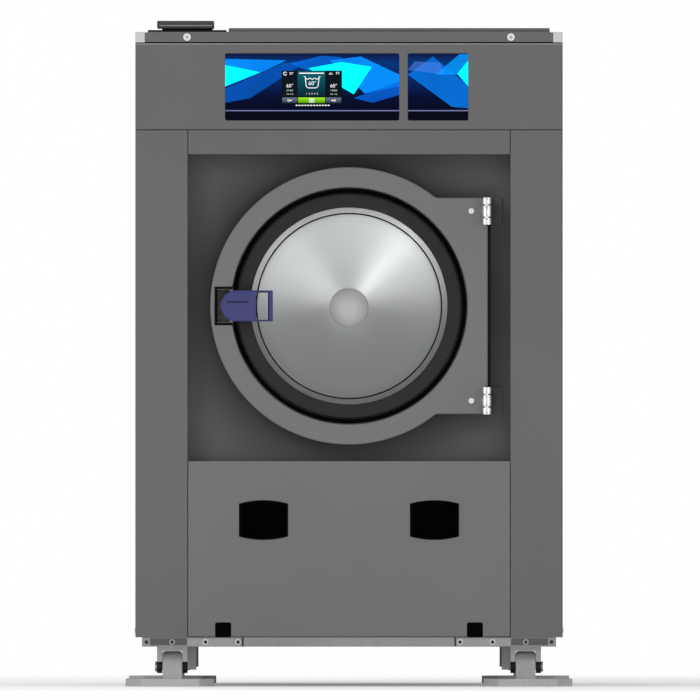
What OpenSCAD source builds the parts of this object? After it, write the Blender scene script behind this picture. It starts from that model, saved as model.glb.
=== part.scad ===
// Soft-mount industrial washing machine, millimetres, front faces -Y, up is +Z.

/* [Casing] */
// Width of the casing
casing_w = 1090; // [1050:5:1130]
// Depth of the casing, front plane to rear plane
casing_d = 1200; // [1180:5:1260]
// Top of the cover above the floor
casing_top = 1669; // [1665:1:1700]
// Thickness of the casing sheet
sheet_t = 2; // [1.5:0.5:3]
// Outer bend radius of the front corners
bend_r = 8; // [5:1:10]
// Gap between neighbouring front panels
panel_gap = 2; // [1.5:0.5:3]
// Depth of the returns folded back from the front panels
return_d = 60; // [50:1:62]
// Height of the top cover
cover_h = 27; // [24:1:30]
// Width of the corner brackets of the cover
corner_w = 24; // [20:1:28]
// Head radius of the cover screws
screw_r = 10; // [8:1:11]
// Half distance between the cover screws
screw_x = 413; // [380:1:440]

/* [Front opening] */
// Half width of the opening in the casing front
recess_x = 412; // [400:1:416]
// Bottom of the opening
recess_bottom = 574; // [566:1:580]
// Top of the opening
recess_top = 1357; // [1350:1:1362]
// Bottom edge of the control panel
control_bottom = 1420; // [1415:1:1425]

/* [Base and feet] */
// Underside of the base frame
base_bottom = 101; // [98:1:110]
// Thickness of the base rails
base_t = 24; // [22:1:28]
// How far the base frame stays inside the casing sides
base_inset = 17; // [10:1:20]
// Width of the base rails
rail_w = 120; // [100:5:140]
// Height of the box beams under the springs
beam_h = 59; // [50:1:60]
// Width of the box beams under the springs
beam_w = 100; // [96:1:110]
// Wall of the box beams
beam_wall = 6; // [4:1:8]
// Half distance between the feet, side to side
foot_x = 451; // [440:1:455]
// Distance of the feet from the front and rear planes
foot_y = 90; // [80:5:100]
// Width of a foot plate
plate_w = 226; // [210:2:230]
// Depth of a foot plate
plate_d = 140; // [130:2:150]
// Thickness of a foot plate
plate_t = 19; // [15:1:22]
// Corner cut of a foot plate
plate_cut = 38; // [30:1:40]
// How far a plate's centre lies outside its post
plate_off = 6; // [0:1:10]
// Radius of an anchor hole
anchor_r = 9; // [7:0.5:11]
// Distance between the two anchor holes of a plate
anchor_pitch = 186; // [176:2:190]
// Width of a foot post
post_w = 50; // [46:1:50]
// Depth of a foot post
post_d = 56; // [50:1:60]
// Height of the foot pin's axis
pin_z = 50; // [48:1:52]
// Height of the centre of the post's round top
post_z = 60; // [58:1:60]
// Radius of the foot pin
foot_pin_r = 9; // [8:0.5:10]
// Width of a foot clevis
clevis_w = 78; // [76:1:82]
// Gap between the ears of a clevis
clevis_gap = 52; // [52:1:54]
// Bottom of the clevis ears
ear_bottom = 62; // [60:1:64]
// Corner radius of the arch between the ears
arch_r = 3; // [2:0.5:4]
// Radius of a rubber bush under its ear
bush_r = 17; // [15:0.5:18]
// Thickness of a foot pin's head
head_t = 5; // [4:0.5:6]
// Width of a load cell
cell_w = 22; // [20:1:24]
// Height of a load cell
cell_h = 59; // [54:1:62]
// Left edge of the base brackets from the middle
bracket_x0 = 275; // [265:1:285]
// Radius of the base bolts
bolt_r = 4; // [3:0.5:5]
// Height of a base bolt's head
bolt_head_h = 4; // [3:0.5:5]

/* [Fascias] */
// Bottom of both fascias
fascia_bottom = 1443; // [1440:1:1450]
// Height of both fascias
fascia_h = 171; // [160:1:175]
// Left edge of the display fascia
fascia_x0 = -316; // [-330:1:-300]
// Width of the display fascia
fascia_w = 444; // [430:1:450]
// Left edge of the side fascia
side_x0 = 150; // [145:1:160]
// Width of the side fascia
side_w = 154; // [140:1:160]
// Left edge of the touch screen
screen_x0 = -172; // [-180:1:-165]
// Width of the touch screen
screen_w = 154; // [150:1:160]
// Height of the touch screen
screen_h = 84; // [80:1:90]
// Bottom of the touch screen
screen_bottom = 1486; // [1480:1:1495]
// Corner radius of the fascias
fascia_r = 5; // [3:1:8]

/* [Grips and catches] */
// Distance of a grip's centre from the middle
grip_x = 218; // [200:1:230]
// Height of a grip's centre
grip_z = 424; // [410:1:440]
// Width of a grip
grip_w = 119; // [110:1:126]
// Height of a grip at its middle
grip_h = 95; // [90:1:100]
// Height of a grip at its sides
grip_side_h = 79; // [70:1:84]
// Depth of a grip's cup
grip_d = 45; // [30:1:50]
// Wall of a grip's cup
grip_wall = 3; // [2:0.5:4]
// Distance of a panel catch from the middle
catch_x = 321; // [310:1:330]
// Width of a panel catch
catch_w = 41; // [38:1:44]
// Height of a panel catch
catch_h = 36; // [30:1:40]

/* [Soap hopper] */
// Left edge of the hopper's neck
hopper_x0 = -477; // [-480:1:-470]
// Width of the hopper's neck
hopper_w = 128; // [120:1:130]
// Front of the hopper's neck
hopper_y0 = 60; // [50:1:70]
// Depth of the hopper's neck
hopper_d = 210; // [180:5:230]
// Clearance between the hopper and the tub at the top of its travel
hopper_clear = 15; // [10:1:40]
// How far the flange reaches past the neck
flange_over = 36; // [30:1:38]
// Thickness of the hopper's flange
hopper_flange_t = 5; // [3:1:6]
// Radius of the hopper's outlet
outlet_r = 26; // [22:1:30]
// Height of the neck above the cover
neck_h = 12; // [10:1:16]
// Thickness of the hopper's lid
lid_t = 17; // [14:1:20]
// Radius of the lid's corners
lid_corner = 7; // [4:1:9]
// How far the lid reaches past the neck
lid_over = 13; // [8:1:14]
// Thickness of the hopper's walls
hopper_wall = 3; // [2:0.5:4]

/* [Tub] */
// Height of the drum axis
axis_z = 970; // [965:1:972]
// Outer radius of the tub
tub_r = 480; // [474:1:482]
// Wall of the tub
tub_wall = 4; // [3:0.5:5]
// Front face of the tub's front plate
front_plate_y = 66; // [65:1:70]
// Thickness of the tub's front plate
front_plate_t = 8; // [6:1:8]
// How far the square front plate reaches past the tub's radius
plate_over = 10; // [6:1:12]
// Radius of the door opening in the tub
mouth_r = 268; // [266:1:270]
// Room between the tub shell and the casing's rear plane
rear_room = 320; // [310:5:330]
// Thickness of the tub's back plate
back_plate_t = 12; // [10:1:14]
// Depth of the sump below the tub
sump_d = 60; // [50:1:64]
// Travel of the tub unit up or down
travel = 20; // [10:1:22]

/* [Drum] */
// Gap between the outer radii of the tub and the drum
drum_gap = 50; // [48:1:54]
// Wall of the drum
drum_wall = 3; // [2:0.5:4]
// Front end of the drum
drum_front = 98; // [96:1:102]
// Front opening radius of the drum
drum_mouth_r = 282; // [278:1:290]
// Distance of the drum's back in front of the tub's rear end
back_gap = 42; // [41:1:50]
// Depth of the pressed cone of the drum's back
cone_d = 38; // [30:1:45]
// Radius of the centre disc
hub_disc_r = 49.5; // [45:0.5:55]
// Height of a lifter
lifter_h = 92; // [80:1:96]
// Base width of a lifter
lifter_base = 120; // [110:1:130]
// Top width of a lifter
lifter_top = 44; // [36:1:60]
// Length of the sloping ends of a lifter
lifter_slope = 55; // [40:1:70]
// Wall of a lifter
lifter_wall = 3; // [2:0.5:4]
// Thickness of the spider arms along the axis
arm_t = 28; // [24:1:28]
// Width of a spider arm
arm_w = 70; // [60:1:80]
// Width of a spider arm beside the hub
arm_root = 116; // [100:1:120]
// Thickness of the web between a spider arm's ribs
arm_web = 10; // [8:1:12]
// Width of the ribs of a spider arm
arm_rib = 12; // [10:1:14]
// Radius of the drum shaft
shaft_r = 45; // [40:1:48]

/* [Drive] */
// Radius of the drum pulley
drum_pulley_r = 280; // [260:1:290]
// Radius of the motor pulley
motor_pulley_r = 60; // [50:1:66]
// Gap between the bearing housing and the pulleys
pulley_gap = 23; // [18:1:30]
// Width of both pulleys
pulley_w = 48; // [44:1:52]
// Thickness of the belt
belt_t = 8; // [6:1:10]
// Distance of the motor axis from the middle
motor_x = 240; // [230:1:250]
// Height of the motor axis
motor_z = 275; // [270:1:278]
// Radius of the motor body
motor_r = 112; // [100:1:114]
// Length of the motor body
motor_len = 330; // [300:5:340]
// Radius of the motor shaft
motor_shaft_r = 19; // [16:1:22]
// Radius of the bearing seats
bearing_r = 75; // [70:1:80]
// Width of a bearing
bearing_w = 36; // [30:1:40]
// Length of the bearing housing
housing_len = 150; // [140:1:155]
// Wall of the bearing housing round its seats
housing_wall = 25; // [20:1:30]
// Width of the bearing housing's flange
flange_w = 135; // [120:1:140]
// Thickness of the bearing housing's flange
flange_t = 18; // [14:1:20]
// Thickness of the bearing housing's ribs
rib_t = 14; // [10:1:16]

/* [Heaters] */
// Length of the heating elements inside the tub
heater_len = 550; // [480:10:580]
// Radius of a heater rod
heater_r = 6; // [4:0.5:7]
// Half distance between the two rods of a heater
heater_half = 12; // [10:1:14]
// Height of the heaters above the tub's lowest point
heater_gap = 27; // [24:1:32]
// Distance between the heaters
heater_pitch = 60; // [54:1:70]
// Half width of a heater's flange
heater_flange = 25; // [22:1:28]

/* [Electrics] */
// Left edge of the drive tray
tray_x0 = 110; // [100:5:160]
// Front of the drive tray
tray_y0 = 100; // [90:5:120]
// Depth of the drive tray
tray_d = 330; // [300:5:360]
// Distance of the drive tray's underside below the cover's top
tray_drop = 167; // [160:1:168]
// Height of the drive tray
tray_h = 120; // [100:5:130]

/* [Suspension] */
// How far the springs stand inside the tub's side
spring_inset = 50; // [46:1:55]
// Rear distance of the front springs from the front plane
spring_y1 = 250; // [240:5:260]
// Distance of the rear springs in front of the tub's rear end
rear_spring_in = 80; // [70:5:100]
// Underside of the cradle's seats
seat_z = 400; // [395:1:405]
// Thickness of the cradle plates
cradle_t = 12; // [10:1:14]
// Mean radius of a spring
spring_r = 40; // [36:1:42]
// Radius of the spring wire
wire_r = 7; // [6:0.5:8]
// Number of curls in a spring
spring_turns = 6; // [5:1:7]
// Distance of the front dampers from the front plane
damper_y1 = 420; // [410:5:440]
// Distance of the rear dampers in front of the tub's rear end
rear_damper_in = 240; // [220:5:260]
// Outer radius of a damper tube
damper_r = 25; // [22:1:28]
// Radius of a damper rod
rod_r = 12; // [10:1:14]
// Height of a damper tube
damper_h = 116; // [110:1:120]

/* [Door] */
// Outer radius of the door ring
ring_r = 354; // [350:1:358]
// Inner radius of the door ring
ring_in = 302; // [300:1:306]
// Front face of the door ring behind the casing front
ring_y = 8; // [6:1:10]
// Depth of the door ring
ring_d = 32; // [30:1:34]
// Thickness of the door sheet
door_t = 3; // [2:0.5:4]
// Radius of the rounded front edges of the door ring
door_edge = 5; // [3:0.5:5]
// Half height of the hinge side of the door
hinge_side_h = 276; // [270:1:280]
// Outer radius of the gasket's front lip
gasket_out = 287; // [285:1:290]
// Inner radius of the gasket's front lip
gasket_in = 251; // [250:1:254]
// Front face of the gasket behind the casing front
gasket_y = 22; // [20:1:24]
// Radius of the gasket's rounded lips
lip_r = 5; // [4:0.5:6]
// Outer radius of the glass flange
glass_flange_r = 262; // [260:1:264]
// Outer radius of the glass bowl
bowl_r = 238; // [236:1:240]
// Depth of the glass bowl behind its flange
bowl_d = 100; // [80:1:110]
// Thickness of the glass
glass_t = 8; // [6:1:9]
// Distance of the hinge axis from the middle
hinge_x = 351; // [350:1:353]
// Distance of the hinge axis in front of the casing front
hinge_out = 8; // [8:1:12]
// Half distance between the hinges
hinge_z = 242; // [230:1:250]
// Outer radius of a hinge barrel
barrel_r = 13; // [12:0.5:13.5]
// Height of the middle knuckle
knuckle_mid = 29; // [26:1:32]
// Height of an outer knuckle
knuckle_end = 18; // [16:1:20]
// Gap between knuckles
knuckle_gap = 2.5; // [2:0.5:3]
// Chamfer of the knuckles' ends
knuckle_edge = 1; // [0.5:0.25:1.5]
// Radius of a hinge pin
hinge_pin_r = 6; // [5:0.5:7]
// Thickness of a hinge bracket's foot
hinge_foot_t = 6; // [5:0.5:8]
// Width of a hinge bracket's foot
hinge_foot_w = 33; // [30:1:38]
// Thickness of a hinge bracket's arm
hinge_arm_t = 6; // [5:0.5:6]

/* [Handle] */
// Left end of the handle
handle_x0 = -328; // [-330:1:-326]
// Right end of the handle
handle_x1 = -194; // [-200:1:-190]
// Height of the handle
handle_h = 80; // [76:1:84]
// Front face of the handle in front of the casing front
handle_out = 14; // [10:1:16]
// Thickness of the handle
handle_t = 28; // [24:1:30]
// Left edge of the handle's window
window_x0 = -237; // [-240:1:-232]
// Width of the grip bar
bar_w = 12; // [10:1:14]
// Width of the notch in the ring, from its left edge
notch_x0 = -343; // [-345:1:-340]
// Height of the notch
notch_h = 99; // [96:1:104]
// Distance of the handle's pin from its left end
pivot_in = 28; // [24:1:32]
// Radius of the handle's pin
handle_pin_r = 5; // [4:0.5:6]
// Left end of the door lock
lock_x0 = -345; // [-347:1:-344]
// Width of the door lock
lock_w = 54; // [50:1:55]
// Height of the door lock
lock_h = 72; // [64:1:76]

/* [Rear connections] */
// Distance of the water inlets below the cover's top
inlet_drop = 109; // [100:1:130]
// Place of the first water inlet
inlet_x = -300; // [-320:5:-290]
// Pitch of the water inlets
inlet_pitch = 60; // [50:5:70]
// Place of the cable entry
cable_x = 330; // [300:5:360]
// Number of vent slots
vent_count = 6; // [4:1:8]
// Width of the vent slots
vent_w = 240; // [200:10:300]
// Height of a vent slot
vent_h = 9; // [7:1:12]
// Pitch of the vent slots
vent_pitch = 26; // [22:1:30]
// Distance of the lowest vent slot below the cover's top
vent_drop = 469; // [440:1:500]
// Outer radius of a water inlet
inlet_r = 13.2; // [12:0.1:14]
// Length of a water inlet behind the casing
inlet_len = 22; // [16:1:26]
// Radius of a water valve's body
valve_r = 22; // [20:1:24]
// Length of a water valve's body
valve_len = 63; // [56:1:70]
// Margin of the valves' plate round the outer inlets
valve_plate = 30; // [28:1:36]
// Outer radius of the drain pipe
drain_r = 38; // [34:1:40]
// Length of the drain pipe behind the casing
drain_len = 50; // [40:1:60]
// Height of the drain pipe
drain_z = 240; // [238:1:250]
// Position of the drain along the depth
drain_y = 530; // [520:5:540]
// Bore radius of the cable entry
cable_r = 14; // [10:1:16]
// Length of the cable entry's collar
collar_len = 18; // [14:1:22]
// Width of the drain valve's flange beyond its pipe
drain_flange = 30; // [26:1:34]
// Wall of the drain valve's body beyond its pipe
drain_wall = 12; // [10:1:14]
// Width of the drain valve's actuator
actuator_w = 62; // [56:1:66]
// Height of the drain valve's lower end of the bellows
bellows_z = 300; // [296:1:306]

/* [Hidden] */
$fn = 96;
run_gap = 0.05;
fit_gap = 0.3;
casing_x = casing_w / 2;
front_most = -(hinge_out + barrel_r);
rear_most = casing_d + drain_len;
row_y = -(front_most + rear_most) / 2;
base_top = base_bottom + base_t;
beam_top = base_top + beam_h;
base_x = casing_x - base_inset;
cover_bottom = casing_top - cover_h;
control_top = cover_bottom - panel_gap;
ring_back = ring_y + ring_d;
hinge_y = -hinge_out;
pivot_x = handle_x0 + pivot_in;
pivot_y = handle_t - handle_out + 1;
handle_back = handle_t - handle_out;
panel_x = recess_x - panel_gap;
panel_bottom = base_top + panel_gap;
glass_y = ring_back - 2;
tub_rear = casing_d - rear_room;
front_plate_half = tub_r + plate_over;
drum_r = tub_r - drum_gap;
drum_back_y = tub_rear - back_gap;
housing_y = tub_rear + back_plate_t;
pulley_y = housing_y + housing_len + pulley_gap;
seal_r = bearing_r - 8;
heater_y0 = tub_rear - heater_len;
heater_z = axis_z - tub_r + heater_gap;
heater_xs = [-heater_pitch, 0, heater_pitch];
spring_x = tub_r - spring_inset;
spring_y2 = tub_rear - rear_spring_in;
damper_y2 = tub_rear - rear_damper_in;
spring_len = seat_z - beam_top;
wire_end = 2 * wire_r;
spring_rings = spring_turns * 8;
sump_z = axis_z - tub_r - sump_d;
bellows_top = sump_z - 20;
tray_z = casing_top - tray_drop;
hopper_bottom = axis_z + front_plate_half + travel + hopper_clear;
hopper_x1 = hopper_x0 + hopper_w;
hopper_y1 = hopper_y0 + hopper_d;
lid_z = casing_top + neck_h;
lid_x0 = hopper_x0 - lid_over;
lid_x1 = hopper_x1 + lid_over / 3;
lid_y0 = hopper_y0 - lid_over;
lid_hinge_y = hopper_y1 + lid_over;
inlet_z = casing_top - inlet_drop;
vent_z = casing_top - vent_drop;
bowl_steps = 14;

// Moves a piece from the casing's own frame to the frame of the whole machine.
module in_frame() {
  translate([0, row_y, 0]) children();
}
// Draws a flat outline, given in X and Z, as a plate from y0 back to y1.
module plate_y(y0, y1) {
  translate([0, y1, 0]) rotate([90, 0, 0]) linear_extrude(y1 - y0) children();
}
// Round bar along Y.
module bar_y(x, z, r, y0, y1) {
  translate([x, y0, z]) rotate([-90, 0, 0]) cylinder(r = r, h = y1 - y0);
}
// Round bar along X.
module bar_x(x0, x1, y, z, r) {
  translate([x0, y, z]) rotate([0, 90, 0]) cylinder(r = r, h = x1 - x0);
}
// Turns a profile of radius and depth about an axis along Y.
// Carries an outline in Y and Z along X.
module along_x(x0, x1) {
  translate([x0, 0, 0]) rotate([90, 0, 90]) linear_extrude(x1 - x0) children();
}
module turn_y(x, z) {
  translate([x, 0, z]) rotate([-90, 0, 0]) rotate_extrude() children();
}
module both_sides() {
  children();
  mirror([1, 0, 0]) children();
}
module box(x0, x1, y0, y1, z0, z1) {
  translate([x0, y0, z0]) cube([x1 - x0, y1 - y0, z1 - z0]);
}
// Rectangle with round corners.
module round_rect(x0, z0, w, h, r) {
  translate([x0 + r, z0]) square([w - 2 * r, h]);
  translate([x0, z0 + r]) square([w, h - 2 * r]);
  for (x = [x0 + r, x0 + w - r])
    for (z = [z0 + r, z0 + h - r])
      translate([x, z]) circle(r = r, $fn = 32);
}

// Outline of a wrapped corner in plan, square but for its round outer front corner.
module corner_plan(x0, x1, y0, y1, r) {
  translate([x0, y0]) square([x1 - x0 - r, y1 - y0]);
  translate([x0, y0 + r]) square([x1 - x0, y1 - y0 - r]);
  translate([x1 - r, y0 + r]) circle(r = r, $fn = 48);
}
// Sheet folded along both long edges: a front face with two returns.
module folded_post(x0, x1, z0, z1) {
  translate([0, 0, z0]) linear_extrude(z1 - z0) difference() {
    corner_plan(x0, x1, 0, return_d, bend_r);
    corner_plan(x0 + sheet_t, x1 - sheet_t, sheet_t, return_d + 1, bend_r - sheet_t);
  }
}

module foot_places() {
  for (sx = [-1, 1])
    for (y = [foot_y, casing_d - foot_y])
      translate([sx * foot_x, y, 0]) mirror([sx < 0 ? 1 : 0, 0, 0]) children();
}

module base_frame() {
  in_frame() color("dimgray") difference() {
    union() {
      box(-base_x, base_x, sheet_t, casing_d - sheet_t, base_bottom, base_top);
      both_sides() difference() {
        box(spring_x - beam_w / 2, spring_x + beam_w / 2, rail_w, casing_d - rail_w, base_top - 1, beam_top);
        box(spring_x - beam_w / 2 + beam_wall, spring_x + beam_w / 2 - beam_wall,
          rail_w - 1, casing_d - rail_w + 1, base_top, beam_top - beam_wall);
      }
    }
    for (w = [[rail_w, drain_y - 60], [drain_y + 60, casing_d - rail_w]])
      box(-spring_x + beam_w / 2, spring_x - beam_w / 2, w[0], w[1], base_bottom - 1, base_top + 1);
  }
}

module foot_plates() {
  in_frame() color("silver") foot_places() difference() {
    union() {
      translate([plate_off, 0, 0]) linear_extrude(plate_t) polygon([
        [-plate_w / 2 + plate_cut, -plate_d / 2], [plate_w / 2 - plate_cut, -plate_d / 2],
        [plate_w / 2, -plate_d / 2 + plate_cut], [plate_w / 2, plate_d / 2 - plate_cut],
        [plate_w / 2 - plate_cut, plate_d / 2], [-plate_w / 2 + plate_cut, plate_d / 2],
        [-plate_w / 2, plate_d / 2 - plate_cut], [-plate_w / 2, -plate_d / 2 + plate_cut]]);
      box(-post_w / 2, post_w / 2, -post_d / 2, post_d / 2, plate_t - 1, post_z);
      bar_x(-post_w / 2, post_w / 2, 0, post_z, post_d / 2);
    }
    bar_x(-post_w, post_w, 0, pin_z, foot_pin_r + fit_gap);
    for (s = [-1, 1])
      translate([plate_off + s * anchor_pitch / 2, 0, -1]) cylinder(r = anchor_r, h = plate_t + 2);
  }
}

module foot_clevises() {
  in_frame() color("gray") foot_places() difference() {
    box(-clevis_w / 2, clevis_w / 2, -post_d / 2, post_d / 2, ear_bottom, base_bottom);
    plate_y(-post_d, post_d) round_rect(-clevis_gap / 2, ear_bottom - 20, clevis_gap,
      post_z + post_d / 2 + arch_r - ear_bottom + 20, arch_r);
    bar_x(-clevis_w, clevis_w, 0, pin_z, bush_r);
  }
}

module foot_pins() {
  in_frame() color("lightgray") foot_places() {
    bar_x(-clevis_w / 2, clevis_w / 2, 0, pin_z, foot_pin_r);
    bar_x(clevis_w / 2, clevis_w / 2 + head_t, 0, pin_z, foot_pin_r + 4);
  }
}

module foot_bushes() {
  in_frame() color([0.1, 0.1, 0.1]) foot_places() difference() {
    bar_x(-clevis_w / 2, clevis_w / 2, 0, pin_z, bush_r);
    bar_x(-clevis_gap / 2, clevis_gap / 2, 0, pin_z, bush_r + 1);
    bar_x(-clevis_w, clevis_w, 0, pin_z, foot_pin_r);
  }
}

module load_cells() {
  in_frame() color([0.35, 0.35, 0.36]) foot_places()
    box(-clevis_w / 2 - cell_w, -clevis_w / 2, -post_d / 2 + 4, post_d / 2 - 4,
      base_bottom - cell_h, base_bottom);
}

// Cover plates screwed to the front of the base rail beside the corner sections.
module base_brackets() {
  in_frame() color([0.62, 0.62, 0.62]) both_sides() difference() {
    box(bracket_x0, recess_x, 0, sheet_t, base_bottom + 1, base_top - 2);
    for (x = [bracket_x0 + 8, recess_x - 46])
      bar_y(x, base_bottom + base_t / 2, bolt_r, -1, sheet_t + 1);
  }
}

// Cap screws that hold the brackets and the corner sections.
module base_bolts() {
  in_frame() color([0.8, 0.8, 0.8]) both_sides() {
    for (x = [bracket_x0 + 8, recess_x - 46]) {
      bar_y(x, base_bottom + base_t / 2, bolt_r, 0, sheet_t);
      bar_y(x, base_bottom + base_t / 2, bolt_r + 3, -bolt_head_h, 0);
    }
    translate([foot_x, sheet_t, base_bottom + base_t / 2]) rotate([90, 0, 0])
      cylinder(r = bolt_r + 3, h = bolt_head_h + 1, $fn = 6);
  }
}

module right_post() {
  folded_post(recess_x, casing_x, base_top, control_bottom - panel_gap);
}
module left_column() {
  in_frame() color([0.42, 0.42, 0.42]) mirror([1, 0, 0]) right_post();
}
module right_column() {
  in_frame() color([0.42, 0.42, 0.42]) right_post();
}

// Flat side sheet with a return along each edge.
module side_sheet() {
  difference() {
    box(casing_x - 20, casing_x, return_d, casing_d - return_d, base_top, cover_bottom);
    box(casing_x - 21, casing_x - sheet_t, return_d + sheet_t, casing_d - return_d - sheet_t,
      base_top + sheet_t, cover_bottom - sheet_t);
  }
}
module left_side_panel() {
  in_frame() color([0.42, 0.42, 0.42]) mirror([1, 0, 0]) side_sheet();
}
module right_side_panel() {
  in_frame() color([0.42, 0.42, 0.42]) side_sheet();
}

module rear_panel() {
  in_frame() color([0.42, 0.42, 0.42]) difference() {
    union() {
      translate([0, casing_d, 0]) mirror([0, 1, 0]) translate([0, 0, base_top])
        linear_extrude(cover_bottom - base_top) difference() {
          union() {
            corner_plan(0, casing_x, 0, return_d, bend_r);
            mirror([1, 0]) corner_plan(0, casing_x, 0, return_d, bend_r);
          }
          corner_plan(-1, casing_x - sheet_t, sheet_t, return_d + 1, bend_r - sheet_t);
          mirror([1, 0]) corner_plan(-1, casing_x - sheet_t, sheet_t, return_d + 1, bend_r - sheet_t);
        }
      bar_y(cable_x, inlet_z, cable_r + 4, casing_d - sheet_t, casing_d + collar_len);
    }
    bar_y(cable_x, inlet_z, cable_r, casing_d - 10, casing_d + 30);
    bar_y(0, drain_z, drain_r + fit_gap, casing_d - 10, casing_d + 10);
    for (i = [0 : 2])
      bar_y(inlet_x + i * inlet_pitch, inlet_z, inlet_r + fit_gap, casing_d - 10, casing_d + 10);
    for (i = [0 : vent_count - 1])
      box(-vent_w / 2, vent_w / 2, casing_d - 10, casing_d + 10, vent_z + i * vent_pitch,
        vent_z + i * vent_pitch + vent_h);
  }
}

module top_cover() {
  in_frame() color([0.45, 0.45, 0.45]) difference() {
    box(-casing_x, casing_x, 0, casing_d, cover_bottom, casing_top);
    box(-casing_x + sheet_t, casing_x - sheet_t, sheet_t, casing_d - sheet_t, cover_bottom - 1,
      casing_top - sheet_t);
    both_sides() {
      box(casing_x - corner_w, casing_x + 1, -1, corner_w, cover_bottom - 1, casing_top + 1);
      box(casing_x - corner_w - 8, casing_x + 1, -1, corner_w, casing_top - sheet_t, casing_top + 1);
      bar_y(screw_x, cover_bottom + cover_h / 2, screw_r / 2, -1, sheet_t + 1);
    }
    box(hopper_x0 - fit_gap, hopper_x1 + fit_gap, hopper_y0 - fit_gap, hopper_y1 + fit_gap,
      cover_bottom, casing_top + 1);
  }
}

module corner_brackets() {
  in_frame() color([0.8, 0.8, 0.8]) both_sides() {
    box(casing_x - corner_w, casing_x, 0, sheet_t, cover_bottom, casing_top);
    box(casing_x - corner_w - 8, casing_x, 0, corner_w, casing_top - sheet_t, casing_top);
    box(casing_x - sheet_t, casing_x, 0, corner_w, cover_bottom, casing_top);
  }
}

module cover_screws() {
  in_frame() color([0.92, 0.92, 0.92]) both_sides() {
    turn_y(screw_x, cover_bottom + cover_h / 2) difference() {
      polygon([[0, -4], [screw_r - 2, -4], [screw_r, -2.5], [screw_r, 0], [0, 0]]);
      translate([-1, -5]) square([screw_r / 2 + 1, 3]);
    }
    bar_y(screw_x, cover_bottom + cover_h / 2, screw_r / 2 - fit_gap, -1, 14);
  }
}

// Front sheet with returns along its top and bottom edges.
module upper_strip() {
  in_frame() color([0.42, 0.42, 0.42]) {
    difference() {
      box(-panel_x, panel_x, 0, return_d, recess_top, control_bottom - panel_gap);
      box(-panel_x - 1, panel_x + 1, sheet_t, return_d + 1, recess_top + sheet_t,
        control_bottom - panel_gap - sheet_t);
    }
    for (x = [-recess_x, recess_x - 30])
      box(x, x + 30, return_d - sheet_t, return_d, recess_top, control_bottom - panel_gap);
  }
}

module control_panel() {
  in_frame() color([0.4, 0.4, 0.4]) difference() {
    translate([0, 0, control_bottom]) linear_extrude(control_top - control_bottom) {
      corner_plan(0, casing_x, 0, return_d, bend_r);
      mirror([1, 0]) corner_plan(0, casing_x, 0, return_d, bend_r);
    }
    box(-casing_x + sheet_t, casing_x - sheet_t, bend_r, return_d + 1,
      control_bottom + sheet_t, control_top - sheet_t);
    box(-casing_x + bend_r, casing_x - bend_r, sheet_t, return_d + 1,
      control_bottom + sheet_t, control_top - sheet_t);
    plate_y(-1, sheet_t + 1) {
      round_rect(fascia_x0, fascia_bottom, fascia_w, fascia_h, fascia_r);
      round_rect(side_x0, fascia_bottom, side_w, fascia_h, fascia_r);
    }
  }
}

module fascia_sheet(x0, w) {
  plate_y(-1, sheet_t) round_rect(x0 + fit_gap, fascia_bottom + fit_gap, w - 2 * fit_gap,
    fascia_h - 2 * fit_gap, fascia_r - fit_gap);
  plate_y(sheet_t, sheet_t + 4) round_rect(x0 - 8, fascia_bottom - 8, w + 16, fascia_h + 16, fascia_r);
}
module display_fascia() {
  in_frame() color([0.02, 0.08, 0.25]) difference() {
    fascia_sheet(fascia_x0, fascia_w);
    box(screen_x0, screen_x0 + screen_w, -3, sheet_t + 8, screen_bottom, screen_bottom + screen_h);
  }
}
module touch_screen() {
  in_frame() color([0.05, 0.05, 0.06])
    box(screen_x0 + fit_gap, screen_x0 + screen_w - fit_gap, -1, 20,
      screen_bottom + fit_gap, screen_bottom + screen_h - fit_gap);
}
module side_fascia() {
  in_frame() color([0.02, 0.08, 0.25]) fascia_sheet(side_x0, side_w);
}

// Barrel-shaped outline with flat sides and bulging top and bottom, grown all round by g.
module grip_plan(g) {
  rise = (grip_h - grip_side_h) / 2;
  bulge_r = (grip_w * grip_w / 4 + rise * rise) / (2 * rise);
  intersection() {
    square([grip_w + 2 * g, grip_h + 2 * g + 10], center = true);
    translate([0, grip_h / 2 - bulge_r]) circle(r = bulge_r + g, $fn = 128);
    translate([0, bulge_r - grip_h / 2]) circle(r = bulge_r + g, $fn = 128);
  }
}
module lower_panel() {
  in_frame() color([0.44, 0.44, 0.44]) difference() {
    box(-panel_x, panel_x, 0, return_d, panel_bottom, recess_bottom);
    box(-panel_x + sheet_t, panel_x - sheet_t, sheet_t, return_d + 1, panel_bottom - 1,
      recess_bottom - sheet_t);
    for (s = [-1, 1]) {
      translate([s * grip_x, 0, grip_z]) plate_y(-1, sheet_t + 1) grip_plan(0);
      plate_y(-1, return_d + 1) round_rect(s * catch_x - catch_w / 2, panel_bottom - 20, catch_w,
        catch_h + 20, 5);
    }
  }
}
module grip_cup(side) {
  in_frame() color([0.03, 0.03, 0.03]) translate([side * grip_x, 0, grip_z]) difference() {
    union() {
      plate_y(-1, 0) grip_plan(3);
      plate_y(-1, grip_d) grip_plan(-fit_gap);
    }
    plate_y(-2, grip_d - grip_wall) grip_plan(-fit_gap - grip_wall);
  }
}
module left_grip() {
  grip_cup(-1);
}
module right_grip() {
  grip_cup(1);
}
module panel_catches() {
  in_frame() color([0.03, 0.03, 0.03]) both_sides()
    translate([catch_x, 0, base_top]) plate_y(1, 14)
      round_rect(-catch_w / 2 + fit_gap, 0, catch_w - 2 * fit_gap, catch_h - fit_gap, 5);
}

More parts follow.
